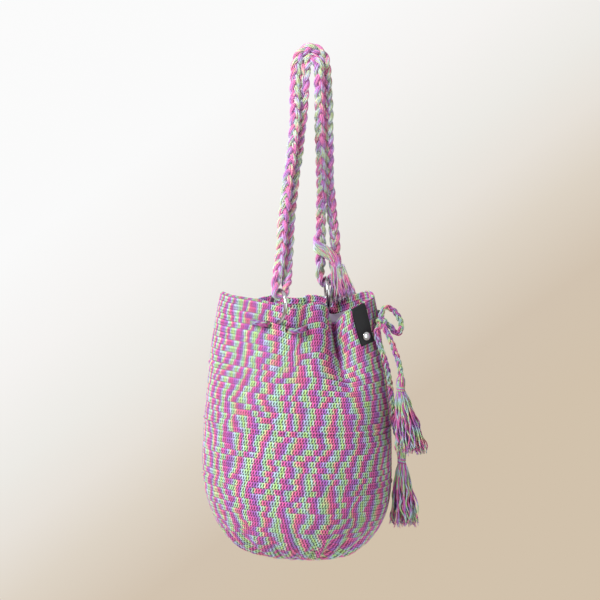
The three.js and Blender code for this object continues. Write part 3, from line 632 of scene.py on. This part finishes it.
def plait_strap():
    """The strap's plait, both times over the hanging point. It lies flat, and turns edgewise in the rings."""
    route = smooth_route([
        STRAP_KNOT + 2 * UP, STRAP_KNOT + 13.8 * UP, *OUTER_RUN, *ring_turn("ring_left"),
        *INNER_RUN, *ring_turn("ring_right"), STRAP_KNOT - 11.8 * UP, STRAP_KNOT - 2 * UP,
    ], STRAP_STEP)
    tangent = unit(np.gradient(route, axis=0))
    across = np.cross(tangent, BACK)
    for name in RINGS:
        circle = ring_circle(name)[0]
        away = np.linalg.norm(route - circle[len(circle) // 2], axis=1)
        turned = np.clip(1.3 - away / 17, 0, 1)[:, None]
        across = across * (1 - turned) + BACK * turned
    skein = Skein()
    skein.plait(route, across, **STRAP_PLAIT)
    return skein.piece("strap_plait", STRAP_SLOT, "strap_braid"), route


def wind_strap_knot():
    """Yarn wound tightly round the strap's two ends."""
    turn = np.linspace(0, 1, 300)
    angle = TURN * KNOT_TURNS * turn
    bulge = KNOT_RADIUS + KNOT_BULGE * np.sin(math.pi * turn)
    winding = np.column_stack([bulge * np.cos(angle), bulge * np.sin(angle), KNOT_LENGTH * (turn - 0.5)])
    skein = Skein()
    skein.lay(STRAP_KNOT + winding, 1.15, UP)
    level = np.linspace(-8, 8, 9)[:, None] * UP
    for k in range(KNOT_CORES):
        spin = TURN * k / KNOT_CORES
        core = STRAP_KNOT + CORE_RING * np.array([math.cos(spin), math.sin(spin), 0])
        skein.lay(core + level, CORE_RADIUS, (1.0, 0, 0))
    return skein.piece("strap_knot_wound", STRAP_SLOT, "strap_knot")


def wrap_hitch():
    """The three strands of the hitch, loosely twisted."""
    skein = Skein()
    for wrap in HITCH_WRAPS:
        skein.strand(smooth_route(wrap, 1.8), UP, yarns=10, yarn_radius=0.78, lay_length=60.0)
    return skein.piece("strap_hitch_wrap", STRAP_SLOT, "strap_hitch")


def hang_fringe():
    """Loose yarn ends that fall from the hitch, in front of the knot, down to the back rim."""
    skein = Skein()
    t = np.linspace(0, 1, 14)
    for k in range(FRINGE_YARNS):
        across = -1 + 2 * (k + chance.uniform()) / FRINGE_YARNS
        deep = chance.uniform(-1, 1) * math.sqrt(1 - 0.7 * across ** 2)
        length = chance.uniform(0.86, 1.0)
        sway = chance.uniform(0.3, 1.5) * np.sin(
            TURN * (t * chance.uniform(0.9, 2.2) + chance.uniform())) * t
        x = FRINGE_TOP[0] + across * FRINGE_HALF_WIDTH + t * length * (7.5 + across * 9.0) + sway
        y = FRINGE_TOP[1] + 3.2 * deep + t * (1.5 + 1.3 * deep) + 0.7 * sway[::-1] * t
        z = FRINGE_TOP[2] - 0.8 * abs(across) - t * (FRINGE_LENGTH - 5 * across) * length
        skein.loose_yarn(np.column_stack([x, y, z]), 0.84)
    return skein.piece("strap_fringe_yarns", STRAP_SLOT, "strap_fringe")


strap, strap_route = plait_strap()
wind_strap_knot()
wrap_hitch()
hang_fringe()


# Drawstring, its bow, tails and tassels


CORD_DIAMETER = 8.0
CORD_STEP = 1.9
CORD_PLAIT = {"width": CORD_DIAMETER, "yarns": 3, "yarn_radius": 0.86, "crossing": 24.0}
KNOT_PLAIT = {"width": 7.0, "yarns": 3, "yarn_radius": 0.8, "crossing": 24.0}
CORD_OUT, CORD_IN = 5.4, 13.9
# The drawstring's points under the rim: share of the way round, and 1 outside the wall or -1 inside
CORD_WEAVE = [
    (0.53, 1), (0.512, -1), (0.48, -1), (0.45, -1), (0.42, -1), (0.39, -1), (0.36, -1), (0.33, -1),
    (0.3, -1), (0.275, -1), (0.26, -1), (0.245, 1), (0.231, 1), (0.217, 1), (0.203, -1), (0.172, -1),
    (0.157, 1), (0.143, 1), (0.129, 1), (0.114, -1), (0.08, -1), (0.04, -1), (0.0, -1), (-0.035, 1),
    (-0.07, 1), (-0.1, 1), (-0.12, -1), (-0.16, -1), (-0.19, -1), (-0.21, 1), (-0.235, 1), (-0.26, 1),
    (-0.28, -1), (-0.33, -1), (-0.37, -1), (-0.413, -1), (-0.432, 1), (-0.452, 1),
]
TIE_KNOT = np.array([88.0, -25.0, -328.0])
BOW_ROUTE = [
    (88.5, -22.5, -316), (94, -19, -309), (104, -17, -314), (111.5, -17, -324), (113.5, -18, -334),
    (111, -19.5, -342), (105, -21, -341), (100, -22.5, -333),
]
# Each tail's points, the top of its tassel, and the tassel's skirt
TAILS = {
    "short": (
        [(93.5, -33, -337), (98, -37, -346), (103, -41, -358), (108, -45, -372), (111, -47, -384)],
        np.array([112.0, -48.0, -394.0]), {"length": 78, "spread": 21, "lean": 14}),
    "long": (
        [(82.5, -30, -337), (82.5, -33, -345), (85.5, -34.5, -355), (91, -35, -370),
         (97, -34, -394), (101.5, -31, -425), (104.5, -26, -457), (110, -21, -477)],
        np.array([115.0, -19.0, -491.0]), {"length": 80, "spread": 19, "lean": 3}),
}
TASSEL_YARNS = 92
HEAD_YARNS, HEAD_LENGTH = 15, 19.0
BIND_TURNS, BIND_RADIUS, BIND_DROP, BIND_HEIGHT = 4, 4.7, 12.2, 5.6
# How the tassel's head swells and its skirt fans out: depth and radius, share of the length and radius
HEAD_PROFILE = [(-1.0, 0.5), (1.0, 3.2), (4.2, 4.6), (8.0, 4.7), (11.8, 4.6), (14.8, 3.4), (HEAD_LENGTH, 4.4)]
SKIRT_PROFILE = [(0, 4.4), (0.12, 7.4), (0.4, 12.4), (0.75, 16.6), (1, 18.6)]
GOLDEN_ANGLE = 2.39996


def into_knot(towards, depth=4.0):
    """A point inside the tie knot, on the side that a cord comes from."""
    return TIE_KNOT + depth * unit(np.array(towards) - TIE_KNOT)


def plait_cord(name, points, across, replaces):
    """A small plait along a route, in place of its solid."""
    route = smooth_route(points, CORD_STEP)
    if across is None:
        across = np.cross(unit(np.gradient(route, axis=0)), BACK)
    skein = Skein()
    skein.plait(route, across, **CORD_PLAIT)
    return skein.piece(name, CORD_SLOT, replaces), route


def weave_points():
    """The drawstring's way in and out through the wall."""
    around, side = np.array(CORD_WEAVE).T
    down = np.full(len(around), CORD_DROP)
    return wall(around, down) + wall_normal(around, down) * np.where(side > 0, CORD_OUT, -CORD_IN)[:, None]


def tie_knot():
    """The knot under the bow: the cord crossing over itself in a tight three-lobed turn."""
    t = np.linspace(0, TURN, 90)
    lobes = np.column_stack(
        [np.sin(t) + 2 * np.sin(2 * t), -np.sin(3 * t) * 1.4, np.cos(t) - 2 * np.cos(2 * t)])
    skein = Skein()
    skein.plait(TIE_KNOT + 1.75 * lobes, (0, 1.0, 0.2), **KNOT_PLAIT)
    return skein.piece("tie_knot_turns", CORD_SLOT, "drawstring_knot")


def bind_tassel_head(name, top):
    """Yarns folded over the cord's end, bound below the fold."""
    head = Skein()
    depth = np.linspace(-1.0, HEAD_LENGTH, 14)
    r = np.interp(depth, *zip(*HEAD_PROFILE))
    for k in range(HEAD_YARNS):
        angle = TURN * k / HEAD_YARNS - 0.12 * depth / 10
        head.lay(top + np.column_stack([r * np.cos(angle), r * np.sin(angle), -depth]), 1.12, (0.2, 0.1, 1.0))
    turn = np.linspace(0, 1, 90)
    wind = TURN * BIND_TURNS * turn
    bind = np.column_stack(
        [BIND_RADIUS * np.cos(wind), BIND_RADIUS * np.sin(wind), -BIND_DROP - BIND_HEIGHT * turn])
    head.lay(top + bind, 0.85, UP)
    return head.piece(f"{name}_bound_head", CORD_SLOT, f"{name}_head")


def fan_tassel_skirt(name, top, length, spread, lean):
    """The loose ends of a tassel's yarns, every ninth one straying further."""
    skirt = Skein()
    t = np.linspace(0, 1, 18)
    for k in range(TASSEL_YARNS):
        share = math.sqrt((k + 0.5) / TASSEL_YARNS)
        spin = k * GOLDEN_ANGLE + chance.uniform(-0.3, 0.3)
        reach = length * chance.uniform(0.86, 0.98)
        fan = np.interp(t, *zip(*SKIRT_PROFILE)) * spread / 20 * share
        stray = 2.0 if k % 9 == 8 else 1.0
        sway, swing = (stray * chance.uniform(0.6, 2.8) * t ** 0.7 * np.sin(
            TURN * (t * chance.uniform(0.8, 3.0) + chance.uniform())) for _ in range(2))
        x = top[0] + lean * t + fan * math.cos(spin) + sway
        y = top[1] + 0.8 * fan * math.sin(spin) + swing
        skirt.loose_yarn(np.column_stack([x, y, top[2] - HEAD_LENGTH + 1.5 - (reach + 1.5) * t]), 0.92)
    return skirt.piece(f"{name}_loose_yarns", CORD_SLOT, f"{name}_skirt")


weave = weave_points()
drawstring, drawstring_route = plait_cord(
    "drawstring_plait", [into_knot(weave[0]), *weave, into_knot(weave[-1])], UP, "drawstring")
tie_knot()

bow, bow_route = plait_cord(
    "bow_plait", [into_knot(BOW_ROUTE[0]), *BOW_ROUTE, into_knot(BOW_ROUTE[-1])], None, "drawstring_bow")

for tail_name, (tail_points, tassel_top, skirt_shape) in TAILS.items():
    tassel_name = f"tassel_{tail_name}"
    tail, tail_route = plait_cord(
        f"tail_{tail_name}_plait",
        [into_knot(tail_points[0]), *tail_points, tassel_top + (0, 0, 4.3), tassel_top - (0, 0, 2)],
        None, f"drawstring_tail_{tail_name}")
    bind_tassel_head(tassel_name, tassel_top)
    fan_tassel_skirt(tassel_name, tassel_top, **skirt_shape)


# Crocheted body


STITCHES = 186
STITCH_COLUMNS = 3
COLUMNS = STITCH_COLUMNS * STITCHES
ROUND_SUB_ROWS = 5
WALL_SUB_ROWS = 183
BASE_SUB_ROWS = 93
BASE_WEDGES = 6
SUB_ROW = WALL_LENGTH / (WALL_SUB_ROWS + BASE_SUB_ROWS)
RIM_SUB_ROWS = 6
INNER_SUB_ROWS = 14
SPLIT_SUB_ROW = 80
RIM_TURN = 2.2
FACE_OUT = 0.5
YARN_UNEVEN, COLUMN_UNEVEN = 0.08, 0.07
POST_HEIGHT, LINE_DEPTH = 0.55, 0.12
SLIT_DEPTH, SLIT_WIDTH = 1.5, 0.75
DOT_DEPTH, DOT_WIDTH = 1.15, 0.9
RIDGE_HEIGHT, RIDGE_WIDTH = 1.2, 1.9
GROOVE_DEPTH, GROOVE_ASIDE, GROOVE_WIDTH = 0.9, 3.4, 1.0
# Prouder rounds, in mm of fabric below the rim, with a groove along each side
RIDGE_DOWNS = (88.0, 159.0, 232.0)
# How far the stitch columns hang upright below the gathered rim, from 0 to 1
UPRIGHT = 0.64
CORD_CLEAR, WIRE_CLEAR = 4.1, 2.9
PIERCED_DEPTH = 75.0


def stitch_place(column, sub_row):
    """Where a point lies in its stitch: in stitches along the round, and in rounds. Posts lean right."""
    rounds = sub_row / ROUND_SUB_ROWS
    return column / STITCH_COLUMNS + POST_LEAN * rounds, rounds


def stitch_relief(along, up):
    """Height of the crochet over a stitch: plump posts with slits between them, and dots between rounds."""
    aside = np.abs(along - np.round(along)) * STITCH_WIDTH
    share = up - np.floor(up)
    line = np.minimum(share, 1 - share) * ROUND_HEIGHT
    slit = np.exp(-(aside / SLIT_WIDTH) ** 2 - ((share - POST_MIDDLE) / 0.27) ** 4)
    beside = along + DOT_ASIDE
    dot = np.exp(-((beside - np.round(beside)) * STITCH_WIDTH / DOT_WIDTH) ** 2 - (line / DOT_WIDTH) ** 2)
    return POST_HEIGHT - SLIT_DEPTH * slit - DOT_DEPTH * dot - LINE_DEPTH * np.exp(-(line / 0.7) ** 2)


def column_slips():
    """How far each stitch column slips round at the rim to hang upright, at even steps round the belly."""
    corner = RIGHT_CORNER * (len(RIM_SHARE) - 1) // len(RIM_OUTLINE)
    wide = lengths(RIM_PATH[:, :1])
    wide = np.where(wide < wide[corner], wide / wide[corner],
                    1 + (wide - wide[corner]) / (wide[-1] - wide[corner]))
    rim = UPRIGHT * wide + (1 - UPRIGHT) * half_turns(RIM_SHARE)
    belly_share = np.linspace(0, 1, 801)
    turns = half_turns(belly_share)
    side = np.floor(np.minimum(turns, 1.999))
    belly = UPRIGHT * (side + (1 - np.cos(math.pi * (turns - side))) / 2) + (1 - UPRIGHT) * turns
    return belly_share, np.interp(belly, rim, RIM_SHARE) - belly_share


COLUMN_SHARES, COLUMN_SLIPS = column_slips()


def crochet_points(sub_row, column):
    """Points of the crochet's face. Sub-row 0 is the rim's outer edge; above it the fabric turns inside."""
    relief = stitch_relief(*stitch_place(column, sub_row)) + chance.normal(0, YARN_UNEVEN, sub_row.shape)
    share = (column + chance.normal(0, COLUMN_UNEVEN, column.shape)) / COLUMNS
    over = np.clip(-sub_row / RIM_SUB_ROWS, 0, 1)
    inside = np.clip(-sub_row - RIM_SUB_ROWS, 0, None)
    down = np.where(sub_row >= 0, sub_row, inside) * SUB_ROW
    around = share + np.interp(np.mod(share, 1.0), COLUMN_SHARES, COLUMN_SLIPS) * gather(down)
    for ridge in RIDGE_DOWNS:
        away = np.abs(sub_row * SUB_ROW - ridge)
        relief = (relief + RIDGE_HEIGHT * np.exp(-(away / RIDGE_WIDTH) ** 4)
                  - GROOVE_DEPTH * np.exp(-((away - GROOVE_ASIDE) / GROOVE_WIDTH) ** 2))
    radius = RIM_TURN + relief
    out = np.where(sub_row >= 0, FACE_OUT + relief, FACE_OUT - RIM_TURN + radius * np.cos(math.pi * over))
    lift = unit(wall(around, np.zeros_like(down)) - wall(around, np.ones_like(down)))
    return fabric(around, down, out) + lift * (radius * np.sin(math.pi * over) * (over < 1))[..., None]


def holes_kept_clear(points, faces):
    """Which faces stay: those clear of the drawstring, the ring wires and their holes through the wall."""
    middles = points[faces].mean(1)
    keep = np.ones(len(faces), dtype=bool)
    pierced = [(drawstring_route, CORD_CLEAR), *((ring_circle(name, 96)[0], WIRE_CLEAR) for name in RINGS)]
    near = np.flatnonzero(middles[:, 2] > RIM_Z - PIERCED_DEPTH)
    at_once = 4000
    for path, clear in pierced:
        for start in range(0, len(near), at_once):
            part = near[start:start + at_once]
            gap = np.linalg.norm(middles[part][:, None] - path[None], axis=2).min(1)
            keep[part[gap < clear]] = False
    return keep


def crochet_wall(first, last):
    """A band of the wall, from one sub-row to another."""
    rows = np.arange(first, last + 1)
    sub_row, column = np.meshgrid(rows.astype(float), np.arange(COLUMNS, dtype=float), indexing="ij")
    points = crochet_points(sub_row, column).reshape(-1, 3)
    row, column = grid(len(rows) - 1, COLUMNS, flip=True)
    faces = row * COLUMNS + column % COLUMNS
    uvs = np.stack(stitch_place(column, rows[row]), axis=-1)
    keep = holes_kept_clear(points, faces)
    return points, faces[keep].tolist(), uvs[keep]


def base_place(wedge, column, ring):
    """Where a point of the base lies in its stitch; stitches are added only where the wedges meet."""
    column = (wedge + 0.5) * BASE_SUB_ROWS + column - ring / 2
    return stitch_place(column, WALL_SUB_ROWS + BASE_SUB_ROWS - ring)


def crochet_base():
    """The round base: six wedges, each with one more column in every sub-row out from the middle."""
    points, faces, uvs = [np.array([[BAG_CENTRE_X, 0.0, BASE_Z]])], [], []
    start = 0
    for ring in range(1, BASE_SUB_ROWS + 1):
        count = BASE_WEDGES * ring
        place = np.arange(count)
        down = np.full(count, WALL_LENGTH - ring * SUB_ROW)
        relief = stitch_relief(*base_place(place // ring, place % ring, ring))
        points.append(fabric(place / count, down, FACE_OUT + relief + chance.normal(0, YARN_UNEVEN, count)))
        before = max(1, BASE_WEDGES * (ring - 1))
        after = start + before
        for wedge in range(BASE_WEDGES):
            inner, outer = wedge * (ring - 1), wedge * ring
            for j in range(ring):
                near, far, past = (inner + j, ring - 1), (outer + j, ring), (outer + j + 1, ring)
                corners = [(near, past, far)]
                if j + 1 < ring:
                    corners.append((near, (inner + j + 1, ring - 1), past))
                for triangle in corners:
                    faces.append([start + k % before if r < ring else after + k % count for k, r in triangle])
                    uvs.append([base_place(wedge, k - wedge * r, r) for k, r in triangle])
        start = after
    return np.vstack(points), faces, np.array(uvs)


upper_wall = crochet_wall(-RIM_SUB_ROWS - INNER_SUB_ROWS, SPLIT_SUB_ROW)
lower_wall = crochet_wall(SPLIT_SUB_ROW, WALL_SUB_ROWS)
for band_name, band, band_replaces in (
        ("crochet_upper_wall", upper_wall, "crochet_body"), ("crochet_lower_wall", lower_wall, None),
        ("crochet_base", crochet_base(), None)):
    make_piece(band_name, band[0], band[1], band[2].reshape(-1, 2), CROCHET_SLOT, band_replaces)


# Lining


LINING_OUT, LINING_DROP = 5.1, 14.0
LINING_COLUMNS, LINING_ROWS = 240, 66
# The hem's turn, from its raw edge over the top: mm below the rim, and mm in from the cloth
HEM = [(24.0, 1.3), (20.0, 1.4), (16.5, 1.4), (14.6, 1.2), (13.8, 0.7), (14.2, 0.3)]


def sew_lining():
    """The cloth lining: a bag of its own inside the crochet, softly wrinkled, with a hem at the top."""
    columns = LINING_COLUMNS
    hem_downs, hem_insets = zip(*HEM)
    downs = np.concatenate([hem_downs, np.linspace(LINING_DROP + 2, WALL_LENGTH - 8, LINING_ROWS)])
    inset = np.concatenate([hem_insets, np.full(LINING_ROWS, 0.15)])
    down, k = np.meshgrid(downs, np.arange(columns), indexing="ij")
    around = k / columns
    turn = TURN * around
    wrinkle = 0.5 + 0.5 * np.sin(23 * turn + 2 * np.sin(down / 37) + 1.7 * np.sin(5 * turn))
    wrinkle = wrinkle * (0.35 + 0.65 * np.abs(np.sin(4 * turn + down / 71)))
    depth = 1.5 * wrinkle * np.clip((down - LINING_DROP) / 20, 0.25, 1)
    rows = len(downs)
    cloth = fabric(around, down, -LINING_OUT - depth - inset[:, None])
    points = np.vstack([cloth.reshape(-1, 3), [[BAG_CENTRE_X, 0, BASE_Z + LINING_OUT + 0.6]]])
    row, column = grid(rows - 1, columns)
    quads = row * columns + column % columns
    wide = RIM_LENGTH / columns
    run = lengths(downs[:, None])
    uvs = np.stack([column * wide, run[row]], axis=-1)
    keep = holes_kept_clear(points, quads)
    ring = np.arange(columns)
    last = (rows - 1) * columns
    floor = np.column_stack([last + ring, last + (ring + 1) % columns, np.full(columns, rows * columns)])
    floor_uvs = np.column_stack([ring * wide, np.full(columns, run[-1])]).repeat(3, axis=0)
    return make_piece("lining_cloth", points, quads[keep].tolist() + floor.tolist(),
                      np.vstack([uvs[keep].reshape(-1, 2), floor_uvs]), LINING_SLOT, "lining")


lining = sew_lining()


# Tab and rivet


LABEL_AT, LABEL_WIDTH, LABEL_LENGTH, LABEL_LEAN = 0.47, 20.5, 49.0, 0.06
LABEL_FRONT, LABEL_BACK, LABEL_THICKNESS = 2.9, -7.9, 1.0
LABEL_EDGE = 0.6
FOLD_REACH = 4.0
RIVET_DROP, RIVET_RADIUS, RIVET_HEIGHT = 39.0, 5.5, 2.0
SHANK_RADIUS, SHANK_LENGTH = 1.8, 11.5


def tab_points(across, run):
    """The tab's middle layer. Run is mm from the fold at the rim: positive in front, negative inside."""
    down = np.abs(run)
    side = np.where(run > 0, 1, -1)
    around = LABEL_AT + (across + LABEL_LEAN * down) / RIM_LENGTH
    turn = np.clip((run + FOLD_REACH) / (2 * FOLD_REACH), 0, 1)
    out = LABEL_BACK + (LABEL_FRONT - LABEL_BACK) * (turn * turn * (3 - 2 * turn))
    out = out + 0.5 * side * (down > FOLD_REACH)
    lift = 2.4 * np.clip(1 - (run / 5.0) ** 2, 0, 1)
    sag = -1.2 * np.exp(-((down - RIVET_DROP) / 7) ** 2) * side
    press = wall(around, down) + wall_normal(around, down) * (out + sag)[..., None]
    return press + lift[..., None] * UP


def cut_tab():
    """The folded tab, with a thickness that rounds off at its cut edges."""
    columns, rows = 17, 121
    across, run = np.meshgrid(np.linspace(-0.5, 0.5, columns) * LABEL_WIDTH,
                              np.linspace(LABEL_LENGTH, -LABEL_LENGTH, rows), indexing="ij")
    middle = tab_points(across, run)
    normal = unit(np.cross(np.gradient(middle, axis=0), np.gradient(middle, axis=1)))
    from_edge = np.minimum(LABEL_WIDTH / 2 - np.abs(across), LABEL_LENGTH - np.abs(run))
    rounding = np.clip(from_edge / LABEL_EDGE, 0, 1)
    half = (0.5 * LABEL_THICKNESS * np.sqrt(0.25 + 0.75 * rounding))[..., None]
    points = np.vstack([(middle + half * normal).reshape(-1, 3), (middle - half * normal).reshape(-1, 3)])
    column, row = grid(columns - 1, rows - 1, flip=True)
    flat = np.stack([across, run], axis=-1).reshape(-1, 2)
    front = column * rows + row
    edge = np.concatenate([np.arange(columns) * rows, (columns - 1) * rows + np.arange(1, rows),
                           np.arange(columns - 2, -1, -1) * rows + rows - 1, np.arange(rows - 2, 0, -1)])
    following = np.roll(edge, -1)
    back = columns * rows
    rim = np.column_stack([edge, back + edge, back + following, following])
    faces = np.vstack([front, front[:, ::-1] + back, rim])
    make_piece("folded_tab", points, faces.tolist(), flat[faces % back].reshape(-1, 2), TAB_SLOT, "label")


def turn_profile(name, centre, axis, profile, replaces, sides=48):
    """A round metal piece: a profile of (radius, height) points turned about an axis."""
    side = unit(np.cross(axis, UP))
    other = np.cross(axis, side)
    profile = np.array(profile, dtype=float)
    angle = TURN * np.arange(sides) / sides
    spoke = np.cos(angle)[:, None] * side + np.sin(angle)[:, None] * other
    rings = centre + profile[:, 0, None, None] * spoke[None] + profile[:, 1, None, None] * axis
    ends = centre + profile[[0, -1], 1, None] * axis
    points = np.vstack([rings.reshape(-1, 3), ends])
    row, column = grid(len(profile) - 1, sides)
    faces = (row * sides + column % sides).tolist()
    uvs = np.stack([column / sides, row], axis=-1).reshape(-1, 2).tolist()
    last = (len(profile) - 1) * sides
    for k in range(sides):
        faces.append([(k + 1) % sides, k, len(points) - 2])
        faces.append([last + k, last + (k + 1) % sides, len(points) - 1])
        uvs += [(k / sides, 0.0)] * 6
    make_piece(name, points, faces, uvs, STEEL_SLOT, replaces)


def set_rivet():
    """The rivet's domed cap on its shank, and the plate inside that it is closed on."""
    place = np.array([LABEL_AT + LABEL_LEAN * RIVET_DROP / RIM_LENGTH]), np.array([RIVET_DROP])
    axis = wall_normal(*place)[0]
    foot = wall(*place)[0]
    dome = [(RIVET_RADIUS * math.cos(a), RIVET_HEIGHT * math.sin(a)) for a in np.linspace(0.12, 1.5, 12)]
    turn_profile("rivet_dome", foot + axis * (LABEL_FRONT + LABEL_THICKNESS + 0.2), axis,
                 [(SHANK_RADIUS, -SHANK_LENGTH), (SHANK_RADIUS, -0.2), (RIVET_RADIUS - 0.5, -0.2),
                  (RIVET_RADIUS - 0.1, 0.0), *dome], "rivet_cap")
    turn_profile("rivet_back_plate", foot + axis * (LABEL_BACK - LABEL_THICKNESS - 0.5), axis,
                 [(RIVET_RADIUS - 0.4, -1.0), (RIVET_RADIUS, -0.7), (RIVET_RADIUS, -0.2),
                  (RIVET_RADIUS - 0.3, 0.0)], "rivet_back")


cut_tab()
set_rivet()


# Floor, backdrop and light, in metres


FLOOR_Z = -1.0
SWEEP_REACH, SWEEP_TOP = 4.0, 3.0
CURVE_Y, CURVE_RADIUS = 0.1, 0.5
# The paper is off-white to the upper left and warm beige to the lower right
PAPER_SLANT = -0.75


def shows_backdrop(tree):
    """Which rays see the plain backdrop: the camera's, and those that metal mirrors or glass lets through."""
    path = node(tree, "LightPath").outputs
    seen = reckon(tree, "ADD", path["Is Camera Ray"], path["Is Glossy Ray"], use_clamp=True)
    return reckon(tree, "ADD", seen, path["Is Transmission Ray"], use_clamp=True)


def painted_backdrop():
    # Matt painted board: a pale grey floor, and a wall that sends warmer light back from the lower right.
    # The floor shows under the bag. The wall and the far floor are clear to the rays that see the backdrop.
    material, tree, surface = new_material("painted_backdrop", Roughness=0.9)
    place = node(tree, "NewGeometry").outputs["Position"]
    x, _, z = node(tree, "SeparateXYZ", {0: place}).outputs
    slope = reckon(tree, "MULTIPLY_ADD", x, PAPER_SLANT, z)
    paint = node(tree, "ValToRGB", {0: remap(tree, slope, (-0.8, 0.5))}, [
        (0.0, "#bdad99"), (1.0, "#cecece"), (0.14, "#c3b6a4"), (0.31, "#d5d1cb"), (0.46, "#dedede"),
        (0.65, "#dcdcdb")])
    above_floor = remap(tree, z, (-0.99, -0.93))
    board = node(tree, "Mix", {"Factor": above_floor, "A": linear("#e2e2e2"), "B": paint}, data_type="RGBA")
    fill(surface, {"Base Color": board.outputs["Result"]})
    far = node(tree, "VectorMath", {0: place}, operation="LENGTH").outputs["Value"]
    clear_share = reckon(tree, "MAXIMUM", above_floor, remap(tree, far, (1.02, 1.5), ease="SMOOTHSTEP"))
    clear_now = reckon(tree, "MULTIPLY", clear_share, shows_backdrop(tree))
    mixed = node(tree, "MixShader", {0: clear_now, 1: surface, 2: node(tree, "BsdfTransparent")})
    fill(tree.nodes["Material Output"], {"Surface": mixed})
    return material


def hang_backdrop():
    """One pale sweep: a floor that catches the shadow, and a curve and wall that send light back."""
    profile = [(-SWEEP_REACH, FLOOR_Z)]
    for angle in np.radians(np.linspace(-90, 0, 13)):
        profile.append((CURVE_Y + CURVE_RADIUS * math.cos(angle),
                        FLOOR_Z + CURVE_RADIUS + CURVE_RADIUS * math.sin(angle)))
    profile.append((CURVE_Y + CURVE_RADIUS, SWEEP_TOP))
    points = [(x, y, z) for y, z in profile for x in (-SWEEP_REACH, SWEEP_REACH)]
    faces = [(2 * k, 2 * k + 1, 2 * k + 3, 2 * k + 2) for k in range(len(profile) - 1)]
    mesh = bpy.data.meshes.new("backdrop_sweep")
    mesh.from_pydata(points, [], faces)
    mesh.shade_smooth()
    mesh.materials.append(painted_backdrop())
    backdrop = bpy.data.objects.new("backdrop_sweep", mesh)
    bpy.context.scene.collection.objects.link(backdrop)


def add_lamp(name, place, size, energy):
    """A square soft lamp that faces the bag."""
    lamp = bpy.data.lights.new(name, "AREA")
    lamp.size = size
    lamp.energy = energy
    holder = bpy.data.objects.new(name, lamp)
    holder.location = place
    holder.rotation_euler = (Vector((0, 0, -0.4)) - Vector(place)).to_track_quat("-Z", "Y").to_euler()
    bpy.context.scene.collection.objects.link(holder)


def light_room():
    """The room: a bright ceiling and a darker floor give light, and plain paper shows behind the bag."""
    world = bpy.data.worlds.new("room_light")
    world.use_nodes = True
    tree = world.node_tree
    light = tree.nodes["Background"]
    x, y, z = node(tree, "SeparateXYZ", {0: node(tree, "TexCoord").outputs["Generated"]}).outputs
    fill(light, {"Strength": remap(tree, z, (-0.2, 0.9), (0.16, 1.9))})
    slope = reckon(tree, "MULTIPLY_ADD", reckon(tree, "MULTIPLY", x, y), PAPER_SLANT, z)
    paper = node(tree, "ValToRGB", {0: remap(tree, slope, (-0.237, 0.126))}, [
        (0.0, "#d2c2ac"), (1.0, "#fbfbfb"), (0.13, "#d2c3b0"), (0.24, "#ded4c6"), (0.32, "#e8e2da"),
        (0.40, "#edebe6"), (0.51, "#f5f3f1"), (0.65, "#fafafa")])
    # Behind the camera the room is greyer, which gives the rings a darker side to mirror
    greyer = remap(tree, y, (-0.4, 0.5), (0.66, 1.0))
    sheet = node(tree, "Background", {"Color": paper, "Strength": greyer})
    mixed = node(tree, "MixShader", {0: shows_backdrop(tree), 1: light, 2: sheet})
    fill(tree.nodes["World Output"], {"Surface": mixed})
    bpy.context.scene.world = world


hang_backdrop()
add_lamp("window_left", (-1.9, -1.7, 1.7), 1.3, 146)
add_lamp("fill_right", (2.2, -2.2, 0.3), 2.0, 26)
light_room()
